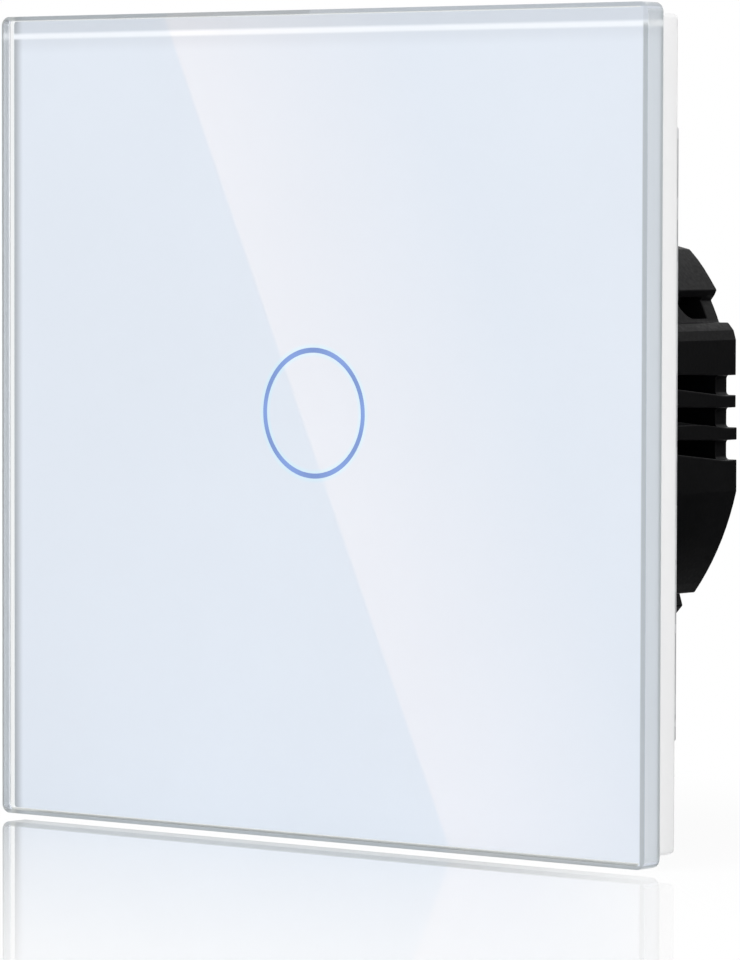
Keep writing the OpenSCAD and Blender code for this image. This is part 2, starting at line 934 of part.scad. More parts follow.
module relay_bobbin()
    color([0.85, 0.85, 0.8])
        difference() {
            union() {
                rod(relay_x, coil_z, bobbin_floor, bobbin_floor + flange_thin, coil_d / 2 + 0.4);
                rod(relay_x, coil_z, bobbin_top - flange_thin, bobbin_top, coil_d / 2 + 0.4);
                rod(relay_x, coil_z, bobbin_floor, bobbin_top, pole_r + 0.5);
            }
            rod(relay_x, coil_z, relay_floor, bobbin_top + 1, pole_r);
        }

module relay_coil()
    color([0.7, 0.35, 0.15])
        slab(bobbin_floor + flange_thin, bobbin_top - flange_thin)
            translate([relay_x, coil_z])
                ring(coil_d / 2, pole_r + 0.5);

// Fixed contact: a post on the relay base with a button that faces the arm
module relay_contacts()
    color([0.8, 0.6, 0.35])
        union() {
            block(
                [relay_x - contact_half, relay_floor, fixed_z + contact_t],
                [relay_x + contact_half, contact_y + contact_half, fixed_z + contact_t + post_t]
            );
            translate([relay_x, contact_y, fixed_z])
                cylinder(h = contact_t + 0.1, r = contact_r);
        }

// Armature: a flat iron with a round bead under it that rocks in the yoke's groove
module relay_armature()
    color([0.65, 0.65, 0.67])
        union() {
            block(
                [relay_x - armature_half, armature_low, coil_z - armature_reach],
                [relay_x + armature_half, armature_low + armature_t, arm_z]
            );
            pivot_bar(armature_half, pivot_r);
        }

// Contact arm: a strip that hangs from the armature and carries the moving button
module relay_spring()
    color([0.8, 0.55, 0.35])
        union() {
            block(
                [relay_x - arm_half, contact_y - contact_half, arm_z],
                [relay_x + arm_half, armature_low + armature_t, arm_z + arm_t]
            );
            translate([relay_x, contact_y, arm_z])
                cylinder(h = arm_t + contact_t, r = contact_r);
        }

module terminal_block()
    color([0.13, 0.13, 0.14])
        difference() {
            block([-block_half, power_rear, terminal_bottom], [block_half, ledge, terminal_top]);
            for (i = [-1, 0, 1])
                translate([i * terminal_pitch, 0, 0]) {
                    block(
                        [-cavity_half, power_rear - 1, cavity_bottom],
                        [cavity_half, ledge - ledge_t, cavity_top]
                    );
                    block(
                        [-bar_half, power_rear - 1, cavity_top - 1],
                        [bar_half, bar_rear, terminal_top + 1]
                    );
                    translate([0, wire_y, terminal_bottom - 1])
                        cylinder(h = mouth_l + 2, r = wire_d / 2);
                    rod(0, screw_z, ledge - 2, ledge + 1, screw_d / 2 + run_gap);
                }
        }

module terminal_bars()
    color([0.8, 0.65, 0.3])
        for (i = [-1, 0, 1])
            translate([i * terminal_pitch, 0, 0])
                union() {
                    block([-bar_half, bar_front, cavity_bottom + 0.4], [bar_half, bar_rear, terminal_top + 1]);
                    block([-bar_half, power_rear, terminal_top], [bar_half, bar_rear, terminal_top + 1]);
                }

module terminal_screw(i)
    color([0.75, 0.75, 0.77])
        translate([i * terminal_pitch, 0, 0])
            difference() {
                union() {
                    rod(0, screw_z, bar_rear + 0.4, ledge + head_h, screw_d / 2);
                    rod(0, screw_z, ledge, ledge + head_h, head_d / 2);
                }
                cross_recess(0, screw_z, ledge + head_h - 0.9, ledge + head_h + 1, 1.5);
            }

module terminal_cage(i)
    color([0.8, 0.68, 0.35])
        translate([i * terminal_pitch, 0, 0])
            difference() {
                block([-cage_w / 2, cage_front, cage_bottom], [cage_w / 2, cage_rear, cage_bottom + cage_l]);
                block(
                    [-cage_w / 2 + 0.8, cage_front + cage_wall, cage_bottom - 1],
                    [cage_w / 2 - 0.8, cage_rear - cage_wall, cage_bottom + cage_l + 1]
                );
                rod(0, screw_z, cage_rear - 2, cage_rear + 1, screw_d / 2 + run_gap);
            }

module terminal_screw_1() terminal_screw(-1);
module terminal_screw_2() terminal_screw(0);
module terminal_screw_3() terminal_screw(1);
module terminal_cage_1() terminal_cage(-1);
module terminal_cage_2() terminal_cage(0);
module terminal_cage_3() terminal_cage(1);

glass_panel();
back_print();
ring_window();
bonding_tape();
panel_frame();
mounting_plate();
frame_clips();
rear_housing();
front_cover();
cover_screws();
light_guide();
touch_pad();
sensor_board();
indicator_leds();
touch_chip();
sensor_parts();
header_body();
header_pins();
header_socket();
power_board();
board_screws();
supply_chip();
power_parts();
line_fuse();
fuse_caps();
varistor();
film_capacitor();
smoothing_capacitors();
bridge_rectifier();
transformer_core();
transformer_bobbin();
transformer_winding();
relay_base();
relay_case();
relay_yoke();
relay_bobbin();
relay_coil();
relay_contacts();
relay_armature();
relay_spring();
terminal_block();
terminal_bars();
terminal_screw_1();
terminal_screw_2();
terminal_screw_3();
terminal_cage_1();
terminal_cage_2();
terminal_cage_3();
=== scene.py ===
"""Touch light switch: glass panel with a lit ring, white frame, steel plate and round black module."""

import json
import math

import bmesh
import bpy
import numpy as np
from bpy.props import FloatProperty, FloatVectorProperty, PointerProperty
from mathutils import Matrix, Vector


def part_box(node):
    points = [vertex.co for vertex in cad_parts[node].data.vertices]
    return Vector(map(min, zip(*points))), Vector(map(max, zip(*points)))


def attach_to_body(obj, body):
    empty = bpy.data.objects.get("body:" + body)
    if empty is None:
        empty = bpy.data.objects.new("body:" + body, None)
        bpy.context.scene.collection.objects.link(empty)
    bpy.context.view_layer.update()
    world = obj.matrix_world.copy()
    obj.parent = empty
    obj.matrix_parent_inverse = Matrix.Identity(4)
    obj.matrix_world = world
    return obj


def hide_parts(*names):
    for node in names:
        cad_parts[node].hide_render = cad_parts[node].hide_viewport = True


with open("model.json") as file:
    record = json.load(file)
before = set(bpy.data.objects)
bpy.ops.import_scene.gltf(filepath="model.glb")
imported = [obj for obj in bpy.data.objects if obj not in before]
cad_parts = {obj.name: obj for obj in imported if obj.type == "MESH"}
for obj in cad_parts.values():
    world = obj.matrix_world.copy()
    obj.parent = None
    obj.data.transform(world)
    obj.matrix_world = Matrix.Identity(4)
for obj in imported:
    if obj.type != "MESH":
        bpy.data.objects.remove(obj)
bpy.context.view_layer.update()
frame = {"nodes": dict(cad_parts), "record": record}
NODE_SLOT = {row["node"]: row["material_slot"] for row in frame["record"]["subparts"]}
NODE_BODY = {
    node: body
    for body, nodes in frame["record"]["behaviour"]["bodies"].items()
    for node in nodes
}

bl_info = {
    "name": "Touch light switch",
    "version": (1, 0, 0),
    "blender": (4, 5, 0),
    "location": "View3D > Sidebar > Switch",
    "description": "Dresses the switch's frame with its finished pieces and sets the stage",
    "category": "Object",
}

MM = 0.001
GLASS_INDEX = 1.5
SENSOR = 36.0  # width in mm that the lens is given for
PICTURE_WIDE, PICTURE_HIGH = 740.0, 960.0  # pixels
WELD = 0.02 * MM  # corners nearer than this become one
FLAT = math.radians(0.8)  # faces that bend by less become one
MID_NOISE = (0.3, 0.7)  # where most of a noise's values lie
RISE, FALL = (0.0, 1.0), (1.0, 0.0)
BLACK, WHITE = (0.0, 0.0, 0.0), (1.0, 1.0, 1.0)

GLASS_LOW, GLASS_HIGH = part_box("glass_panel")
COAT_LOW, COAT_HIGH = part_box("back_print")
RING_LOW, RING_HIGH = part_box("ring_window")
FRAME_LOW, FRAME_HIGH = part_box("panel_frame")
RING_MIDDLE = ((RING_LOW[0] + RING_HIGH[0]) / 2, (RING_LOW[2] + RING_HIGH[2]) / 2)
RING_RADIUS = (RING_HIGH[0] - RING_LOW[0]) / 2


# ---- sizes and colours


def length(name, about, default):
    """A length in metres that shows in the scene's own unit."""
    return FloatProperty(name=name, description=about, default=default, unit="LENGTH", precision=5)


def bearing(name, about, degrees):
    """An angle that is given in degrees."""
    return FloatProperty(name=name, description=about, default=math.radians(degrees), subtype="ANGLE")


def tint(name, about, default):
    """A colour written as linear red, green and blue."""
    return FloatVectorProperty(
        name=name, description=about, default=default, size=3, subtype="COLOR", min=0, max=1
    )


class PanelSizes(bpy.types.PropertyGroup):
    corner: length("Glass corner", "Corner radius of the glass", 1.0 * MM)
    chamfer: length("Glass chamfer", "Width of the ground edge on the face of the glass", 0.4 * MM)
    chamfer_deep: length("Chamfer depth", "Depth of the ground edge on the side of the glass", 0.2 * MM)
    polish: length("Edge polish", "Rounding of the ground edge", 0.06 * MM)
    contact: length("Coat contact", "How far the coat reaches into the glass", 0.02 * MM)
    ring_line: length("Ring line", "Width of the lit ring", 0.53 * MM)
    frame_corner: length("Frame corner", "Corner radius of the frame", 0.5 * MM)
    frame_wall: length("Frame wall", "Thickness of the frame's outer wall", 2.0 * MM)
    frame_web: length("Frame web", "Thickness of the frame's front web", 1.2 * MM)
    frame_round: length("Frame round", "Rounding of the frame's front edge", 0.25 * MM)
    frame_ease: length("Frame ease", "Rounding of the frame's rear edge", 0.68 * MM)
    opening: length("Frame opening", "Half width of the frame's opening", 32.2 * MM)
    opening_corner: length("Opening corner", "Corner radius of the frame's opening", 4.0 * MM)
    notch: length("Prying notch", "Half width of the notch under the frame", 4.0 * MM)
    notch_depth: length("Notch depth", "Depth of the notch under the frame", 1.2 * MM)
    blade_reach: length("Blade end", "Depth of the gripping blades' ends", -1.6 * MM)


class EaseSizes(bpy.types.PropertyGroup):
    housing: length("Housing edges", "Rounding of the housing's edges", 0.15 * MM)
    plate: length("Plate edges", "Rounding of the plate's edges", 0.1 * MM)
    metal: length("Metal edges", "Rounding of screws, bars and cages", 0.07 * MM)
    small: length("Small edges", "Rounding of the small parts", 0.05 * MM)


class Colours(bpy.types.PropertyGroup):
    glass: tint("Glass", "Tint of the clear glass", (0.95, 0.975, 0.98))
    # glass rim, ground edge and satin side tints: painted shade on the edges of the glass
    rim: tint("Glass rim", "Tint of the glass behind its ground edge", (0.82, 0.83, 0.84))
    passed: tint("Passed light", "Light that falls through the glass", (0.97, 0.985, 0.985))
    ground: tint("Ground edge", "Tint of the ground edge of the glass", (0.33, 0.35, 0.335))
    side: tint("Satin side", "Tint of the satin sides of the glass", (0.73, 0.74, 0.7))
    coat: tint("Coat", "White coat behind the glass", (0.789, 0.825, 0.898))
    # white line: a painted highlight along the top of the coat
    line: tint("White line", "Line along the top of the coat", (0.93, 0.945, 0.985))
    # left and right borders: painted shade along the sides of the coat
    left: tint("Left border", "Coat along its left edge", (0.44, 0.46, 0.49))
    right: tint("Right border", "Coat along its right edge", (0.52, 0.55, 0.58))
    ring: tint("Ring light", "Light of the ring", (0.175, 0.28, 0.61))
    # glow: painted light of the ring on the coat beside it
    glow: tint("Glow", "Ring light on the coat beside it", (0.0, 0.045, 0.065))
    frame: tint("Frame", "White plastic of the frame", (0.92, 0.92, 0.915))
    steel: tint("Steel", "Galvanised plate", (0.74, 0.75, 0.76))
    # paler zinc on the plate's edges: wear and a painted highlight
    zinc: tint("Rubbed zinc", "Rubbed edges of the plate", (0.8, 0.81, 0.82))
    black: tint("Housing", "Black plastic of the module", (0.003, 0.003, 0.0033))
    brass: tint("Brass", "Terminals", (0.8, 0.58, 0.24))
    board: tint("Board", "Lacquer of the boards", (0.015, 0.13, 0.05))
    tin: tint("Tin", "Tinned dots of the boards", (0.62, 0.6, 0.56))
    # dark copper: painted shade in the grooves between the turns
    copper_groove_shade: tint("Dark copper", "Wire between the turns", (0.42, 0.13, 0.04))
    copper: tint("Copper", "Wire on the turns", (0.78, 0.34, 0.13))
    relay: tint("Relay", "Relay case", (0.03, 0.11, 0.32))


class Stage(bpy.types.PropertyGroup):
    yaw: bearing("Yaw", "Camera to the right of the panel", 38.7286)
    pitch: bearing("Pitch", "Camera above the panel", 2.7594)
    roll: bearing("Roll", "Camera turned about its own line", 0.1268)
    lens: FloatProperty(
        name="Lens", description="Focal length on a 36 mm sensor", default=216.302, unit="CAMERA"
    )
    eye: FloatVectorProperty(
        name="Eye",
        description="Place of the camera",
        default=(0.37795, -0.46908, 0.02319),
        unit="LENGTH",
    )
    floor: length("Floor", "Height of the floor", -43.47 * MM)
    window: FloatProperty(
        name="Window light", description="Power of the window light", default=15.0, unit="POWER"
    )


class SwitchSettings(bpy.types.PropertyGroup):
    panel: PointerProperty(type=PanelSizes)
    ease: PointerProperty(type=EaseSizes)
    colours: PointerProperty(type=Colours)
    stage: PointerProperty(type=Stage)


def settings():
    return bpy.context.scene.switch_settings


# ---- surfaces


def eased(points, reach, steps=3, most=0.48):
    """A closed section whose corners are worn round: each corner P with neighbours A and B becomes the
    parabola from P + reach towards A, by P, to P + reach towards B. The reach is at most a share of the
    side. Rows may carry more than two columns."""
    p = np.asarray(points, float)
    reach = np.broadcast_to(np.asarray(reach, float), len(p))[:, None]
    back = np.roll(p, 1, 0) - p
    ahead = np.roll(p, -1, 0) - p
    start = p + back * np.minimum(reach / np.linalg.norm(back[:, :2], axis=1)[:, None], most)
    end = p + ahead * np.minimum(reach / np.linalg.norm(ahead[:, :2], axis=1)[:, None], most)
    t = np.linspace(0, 1, steps + 1)[None, :, None]
    arcs = (1 - t) ** 2 * start[:, None] + 2 * t * (1 - t) * p[:, None] + t**2 * end[:, None]
    return arcs.reshape(-1, p.shape[1])


def square_basis(shares, corner_steps=8):
    """Outline of a rounded square as straight * S + radius * C: side points have S = (share, -1) and
    C = (0, -1), corner points have S = (1, -1) and C on a quarter circle. Four turns of 90 degrees."""
    shares = np.asarray(shares, float)
    a = np.linspace(-np.pi / 2, 0, corner_steps + 1)
    s = np.vstack([np.c_[shares, -np.ones_like(shares)], np.tile([1.0, -1.0], (len(a), 1))])
    c = np.vstack([np.tile([0.0, -1.0], (len(shares), 1)), np.c_[np.cos(a), np.sin(a)]])
    turns = [np.array([[x, z], [-z, x]]) for x, z in ((1, 0), (0, 1), (-1, 0), (0, -1))]
    return np.vstack([s @ t for t in turns]), np.vstack([c @ t for t in turns])


def side_shares(count):
    """Even shares from -1 to 1 along a side, without its two ends."""
    return np.linspace(-1, 1, count)[1:-1]


def carry(section, basis, centre=(0.0, 0.0), stretch=(0.0, 0.0)):
    """Rings of a section carried round a rounded square: row (half, y, radius) of the section gives the
    ring centre + (half - radius + stretch) * S + radius * C at depth y."""
    s, c = basis
    half, y, radius = np.asarray(section, float).T
    straight = (half - radius)[:, None, None] + np.asarray(stretch)[None, None, :]
    flat = np.asarray(centre) + straight * s[None] + radius[:, None, None] * c[None]
    depth = np.broadcast_to(y[:, None], flat.shape[:2])
    return np.stack([flat[..., 0], depth, flat[..., 1]], -1)


def lathe(section, centre=(0.0, 0.0), count=96):
    """Rings of a section turned about the Y axis through centre: row (radius, y) gives the circle
    centre + radius * (cos a, sin a) at depth y."""
    radius, y = np.asarray(section, float).T
    a = np.linspace(0, 2 * np.pi, count, endpoint=False)
    x = centre[0] + radius[:, None] * np.cos(a)
    z = centre[1] + radius[:, None] * np.sin(a)
    return np.stack([x, np.broadcast_to(y[:, None], x.shape), z], -1)


def skin(rings, closed):
    """Points and faces of a grid of rings. Ring i is joined to ring i + 1 point by point. A closed
    section joins its last ring to its first, an open one has its two end rings filled."""
    n, m = rings.shape[:2]
    i = np.arange(n if closed else n - 1)[:, None]
    j = np.arange(m)[None, :]
    ahead, beside = (i + 1) % n * m, (j + 1) % m
    quads = np.stack([i * m + j, i * m + beside, ahead + beside, ahead + j], -1).reshape(-1, 4)
    caps = [] if closed else [np.arange(m)[::-1], np.arange((n - 1) * m, n * m)]
    return rings.reshape(-1, 3), quads, caps


def shade(mesh, angle=32):
    """Smooth faces that stay crisp where two faces meet at more than the angle."""
    mesh.shade_smooth()
    mesh.set_sharp_from_angle(angle=math.radians(angle))


def attach(obj, node, material, extra=False):
    """Gives a piece its finish, lets it ride on its node's body and stand for the node."""
    obj.data.materials.clear()
    obj.data.materials.append(material)
    bpy.context.scene.collection.objects.link(obj)
    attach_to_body(obj, NODE_BODY[node])
    if not extra:
        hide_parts(node)
    return obj


def formed(name, node, skins, material, extra=False):
    """One object from skins: points and faces are put end to end and the faces turned outwards."""
    starts = np.cumsum([0] + [len(points) for points, _, _ in skins])
    faces = []
    for (_, quads, caps), start in zip(skins, starts):
        faces += (quads + start).tolist() + [(cap + start).tolist() for cap in caps]
    mesh = bpy.data.meshes.new(name)
    mesh.from_pydata(np.concatenate([points for points, _, _ in skins]).tolist(), [], faces)
    form = bmesh.new()
    form.from_mesh(mesh)
    bmesh.ops.recalc_face_normals(form, faces=form.faces)
    form.to_mesh(mesh)
    form.free()
    shade(mesh)
    return attach(bpy.data.objects.new(name, mesh), node, material, extra)


def values_of(items, field, wide, kind=float):
    values = np.empty(wide * len(items), kind)
    items.foreach_get(field, values)
    return values.reshape(-1, wide)


def weigh_edges(mesh, width, bend=34, share=0.4):
    """Gives each edge the share of the width that it may be rounded by: 0 where its two faces meet at
    less than the bend angle, else at most a share of the shortest edge that meets one of its ends."""
    ends = values_of(mesh.edges, "vertices", 2, int)
    points = values_of(mesh.vertices, "co", 3)
    normals = values_of(mesh.polygons, "normal", 3)
    counts = values_of(mesh.polygons, "loop_total", 1, int).ravel()
    edge_of = values_of(mesh.loops, "edge_index", 1, int).ravel()
    length_of = np.linalg.norm(points[ends[:, 0]] - points[ends[:, 1]], axis=1)
    room = np.full(len(points), np.inf)
    np.minimum.at(room, ends.ravel(), np.repeat(length_of, 2))
    sides = np.repeat(normals, counts, axis=0)[np.argsort(edge_of, kind="stable")]
    turn = np.einsum("ij,ij->i", sides[0::2], sides[1::2])
    weight = np.minimum(1.0, share * room[ends].min(axis=1) / width)
    weight = np.where(turn < math.cos(math.radians(bend)), weight, 0.0)
    layer = mesh.attributes.new("bevel_weight_edge", "FLOAT", "EDGE")
    layer.data.foreach_set("value", weight.astype(np.float32))


def eased_copy(node, width, material, steps=2, crease=15):
    """A copy of a CAD node whose triangles are welded, whose flat faces are made whole and whose sharp
    edges are rounded by a small width. Edges bent by more than the crease angle stay crisp."""
    mesh = frame["nodes"][node].data.copy()
    mesh.name = node + "_eased"
    form = bmesh.new()
    form.from_mesh(mesh)
    bmesh.ops.remove_doubles(form, verts=form.verts, dist=WELD)
    bmesh.ops.dissolve_limit(form, angle_limit=FLAT, verts=form.verts, edges=form.edges)
    form.to_mesh(mesh)
    form.free()
    shade(mesh, crease)
    weigh_edges(mesh, width)
    obj = bpy.data.objects.new(node + "_eased", mesh)
    bevel = obj.modifiers.new("edge_round", "BEVEL")
    bevel.width, bevel.segments = width, steps
    bevel.limit_method, bevel.use_clamp_overlap = "WEIGHT", False
    bevel.harden_normals = True
    return attach(obj, node, material)


# ---- shader tools


class Tree:
    """Adds nodes to a node tree, sets their sockets and joins them."""

    def __init__(self, tree):
        self.tree = tree

    def add(self, kind, sockets=None, **fields):
        node = self.tree.nodes.new("ShaderNode" + kind)
        for key, value in fields.items():
            setattr(node, key, value)
        for key, value in (sockets or {}).items():
            self.put(value, node.inputs[key])
        return node

    def put(self, value, socket):
        if isinstance(value, bpy.types.NodeSocket):
            self.tree.links.new(value, socket)
        else:
            socket.default_value = value

    def mix(self, factor, a, b):
        """Colour a where factor is 0 and b where it is 1. Sockets 6 and 7 are the node's colours."""
        return self.add("Mix", {0: factor, 6: rgba(a), 7: rgba(b)}, data_type="RGBA").outputs[2]

    def math(self, operation, a, b=0.0):
        return self.add("Math", {0: a, 1: b}, operation=operation).outputs[0]

    def ranged(self, value, source, target, smooth=False):
        """Value moved from the source range to the target range."""
        names = ("From Min", "From Max", "To Min", "To Max")
        sockets = dict(zip(names, (*source, *target)))
        kind = "SMOOTHSTEP" if smooth else "LINEAR"
        return self.add("MapRange", {"Value": value, **sockets}, interpolation_type=kind).outputs[0]

    def here(self):
        return self.add("TexCoord").outputs["Object"]

    def parts(self, vector):
        return self.add("SeparateXYZ", {0: vector}).outputs[:3]

    def dress(self, node, **sockets):
        """Sets or joins a node's sockets, whose names are written with underscores."""
        for key, value in sockets.items():
            self.put(value, node.inputs[key.replace("_", " ")])

    def show(self, shader):
        """Makes a shader the material's surface."""
        self.put(shader.outputs[0], self.tree.nodes["Material Output"].inputs["Surface"])

    def noise(self, scale, detail=3.0, vector=None):
        sockets = {"Vector": vector or self.here(), "Scale": scale, "Detail": detail}
        return self.add("TexNoise", sockets).outputs[0]


def rgba(colour):
    return colour if isinstance(colour, bpy.types.NodeSocket) else (*colour[:3], 1.0)


def shade_of(colour, factor):
    return tuple(min(1.0, c * factor) for c in colour)


def group(name, inputs, outputs):
    """An empty node group with its named sockets: the tree, its input node and its output node."""
    tree = bpy.data.node_groups.new(name, "ShaderNodeTree")
    for label, kind, value in inputs:
        socket = tree.interface.new_socket(label, in_out="INPUT", socket_type="NodeSocket" + kind)
        socket.default_value = value
    for label, kind in outputs:
        tree.interface.new_socket(label, in_out="OUTPUT", socket_type="NodeSocket" + kind)
    return Tree(tree), tree.nodes.new("NodeGroupInput"), tree.nodes.new("NodeGroupOutput")


def grain_group():
    """Fine moulded grain and a slow cloudy drift, both from 0 to 1."""
    t, given, out = group(
        "surface_grain",
        [("Grain Scale", "Float", 2500.0), ("Cloud Scale", "Float", 60.0)],
        [("Grain", "Float"), ("Cloud", "Float")],
    )
    here = t.here()
    t.put(t.noise(given.outputs[0], 4.0, here), out.inputs[0])
    cloud = t.noise(given.outputs[1], 2.0, here)
    t.put(t.ranged(cloud, MID_NOISE, RISE, True), out.inputs[1])
    return t.tree


def wear_and_sheen_group():
    """Mask of worn edges, which also carry a painted highlight: how far a normal rounded over Reach
    turns from the true one, broken up.
    """
    t, given, out = group(
        "rubbed_edges",
        [("Reach", "Float", 0.3 * MM), ("Break Scale", "Float", 900.0)],
        [("Worn", "Float")],
    )
    soft = t.add("Bevel", {"Radius": given.outputs[0]}, samples=4).outputs[0]
    true = t.add("NewGeometry").outputs["Normal"]
    turn = t.add("VectorMath", {0: soft, 1: true}, operation="DOT_PRODUCT").outputs["Value"]
    edge = t.ranged(turn, (0.78, 0.99), FALL, True)
    speckle = t.ranged(t.noise(given.outputs[1], 3.0), (0.35, 0.65), (0.25, 1.0))
    t.put(t.math("MULTIPLY", edge, speckle), out.inputs[0])
    return t.tree


def drawn_group():
    """Fine lines drawn along one axis: noise squeezed across the line and stretched along it."""
    t, given, out = group(
        "drawn_lines",
        [("Squeeze", "Vector", (4000.0, 120.0, 4000.0))],
        [("Line", "Float")],
    )
    placed = t.add("Mapping", {"Vector": t.here(), "Scale": given.outputs[0]}).outputs[0]
    t.put(t.noise(1.0, 4.0, placed), out.inputs[0])
    return t.tree


def group_of(name, maker):
    return bpy.data.node_groups.get(name) or maker()


def placed(tree, made, **values):
    node = tree.add("Group", node_tree=made)
    tree.dress(node, **values)
    return node


def blank(name):
    """An empty material with its shader: the tree, the shader node and the material."""
    material = bpy.data.materials.new(name + "_finish")
    material.use_nodes = True
    tree = Tree(material.node_tree)
    return tree, material.node_tree.nodes["Principled BSDF"], material


def bumped(tree, shader, height, strength, distance):
    bump = tree.add("Bump", {"Height": height, "Strength": strength, "Distance": distance})
    tree.put(bump.outputs[0], shader.inputs["Normal"])


# ---- finishes


def grained(tree, grain, cloud):
    made = group_of("surface_grain", grain_group)
    return placed(tree, made, Grain_Scale=grain, Cloud_Scale=cloud).outputs


def lined(tree, squeeze):
    return placed(tree, group_of("drawn_lines", drawn_group), Squeeze=squeeze).outputs[0]


def wear_and_sheen(tree, base, worn, reach, scale):
    """The base colour with its edges turned to the worn colour, which stands for wear and for a painted
    edge highlight.
    """
    mask = placed(tree, group_of("rubbed_edges", wear_and_sheen_group), Reach=reach, Break_Scale=scale)
    return tree.mix(mask.outputs[0], base, worn)


def tone(c, colour):
    """A colour as it is written, or the setting of that name times its factor."""
    if isinstance(colour[0], str):
        name, factor = colour
        return shade_of(getattr(c, name), factor)
    return colour


def moulded(name, c, colour, rough, grain, cloud, drift, bump, worn=None, **fixed):
    """Moulded plastic, resin or lacquer: cloudy tone, grainy gloss and bump, and paler edges that are
    wear and a painted highlight.
    """
    t, shader, material = blank(name)
    colour = tone(c, colour)
    g = grained(t, grain, cloud)
    base = t.mix(g["Cloud"], shade_of(colour, 1 - drift), shade_of(colour, 1 + drift))
    if worn:
        base = wear_and_sheen(t, base, tone(c, worn), reach=0.35 * MM, scale=700.0)
    t.dress(shader, Base_Color=base, Roughness=t.ranged(g["Grain"], MID_NOISE, rough), **fixed)
    bumped(t, shader, g["Grain"], strength=bump, distance=0.04 * MM)
    return material


def drawn_metal(name, c, colour, rough, worn, squeeze=(4000.0, 120.0, 4000.0), bump=0.15):
    """Rolled or turned metal: lines along the drawing, drifting tone and bright edges that are wear and
    a painted highlight.
    """
    t, shader, material = blank(name)
    colour = tone(c, colour)
    line = lined(t, squeeze)
    g = grained(t, grain=3000.0, cloud=160.0)
    base = t.mix(line, shade_of(colour, 0.82), shade_of(colour, 1.1))
    base = t.mix(t.math("MULTIPLY", g["Cloud"], 0.35), base, shade_of(colour, 0.75))
    base = wear_and_sheen(t, base, tone(c, worn), reach=0.25 * MM, scale=1200.0)
    t.dress(shader, Base_Color=base, Roughness=t.ranged(line, MID_NOISE, rough), Metallic=1.0)
    bumped(t, shader, line, strength=bump, distance=0.03 * MM)
    return material


def clear_glass(c):
    """Clear float glass: faint ripple and wipe marks, a ground edge round the front and along top and
    foot, and satin sides. Painted shade greys the ground edge, darkens the glass behind it and the
    sides, and lays a darker line along the back of the sides; the grey of the ground edge fades towards
    the top of the right side. Shadows pass through the glass."""
    t, shader, material = blank("clear_glass")
    x, y, z = t.parts(t.here())
    size = settings().panel
    half, front, back = GLASS_HIGH[0], GLASS_LOW[1], GLASS_HIGH[1]
    wide, deep = size.chamfer, size.chamfer_deep
    edge = (half - wide * 1.3, half - wide)
    shade_fade_at, shade_fade_share = (half - 2.4 * MM, half - 1.8 * MM), 0.3
    side_at = (half - 0.08 * MM, half - 0.03 * MM)
    back_edge_shade_at = (back - deep - 0.06 * MM, back - deep + 0.02 * MM)
    top_share, satin_rough = 0.75, 0.32

    out = t.math("MAXIMUM", t.math("ABSOLUTE", x), t.math("ABSOLUTE", z))
    ahead = t.ranged(y, (front + deep * 0.95, front + deep * 1.2), FALL)
    behind = t.math("SUBTRACT", 1.0, ahead)
    rim = t.ranged(out, edge, RISE)
    # the painted shade of the ground edge is weaker towards the top of the right side
    shade_fading = t.ranged(z, shade_fade_at, (1.0, shade_fade_share), True)
    shade_fading = t.math("MAXIMUM", shade_fading, t.math("LESS_THAN", x, 0.0))
    foot, top = t.ranged(z, (-edge[1], -edge[0]), FALL), t.ranged(z, edge, (0.0, top_share))
    # ground edge: its satin gloss is the real ground finish, its grey is painted shade
    ground = t.math("MULTIPLY", t.math("MULTIPLY", rim, ahead), shade_fading)
    ground = t.math("MAXIMUM", ground, t.math("MAXIMUM", foot, top))
    side = t.math("MULTIPLY", t.ranged(out, side_at, RISE), behind)
    back_edge_shade = t.ranged(y, back_edge_shade_at, RISE, True)
    # painted shade: the glass near its edges, the satin sides and the line along their back are
    # darkened
    base = t.mix(t.math("MULTIPLY", rim, behind), c.glass, c.rim)
    base = t.mix(side, base, t.mix(back_edge_shade, c.side, c.ground))
    base = t.mix(ground, base, c.ground)
    wipe = t.ranged(t.noise(55.0, 5.0), (0.45, 0.8), (0.0, 0.012))
    satin = t.math("MULTIPLY", t.math("MAXIMUM", ground, side), satin_rough)
    rough = t.math("ADD", wipe, satin)
    t.dress(shader, Base_Color=base, Roughness=rough, Transmission_Weight=1.0, IOR=GLASS_INDEX)
    bumped(t, shader, t.noise(18.0, 1.0), strength=0.02, distance=0.2 * MM)
    ray = t.add("LightPath").outputs
    through = t.math("MAXIMUM", ray["Is Shadow Ray"], ray["Is Diffuse Ray"])
    clear = t.add("BsdfTransparent", {"Color": rgba(c.passed)})
    both = t.add("MixShader", {0: through, 1: shader.outputs[0], 2: clear.outputs[0]})
    t.show(both)
    return material


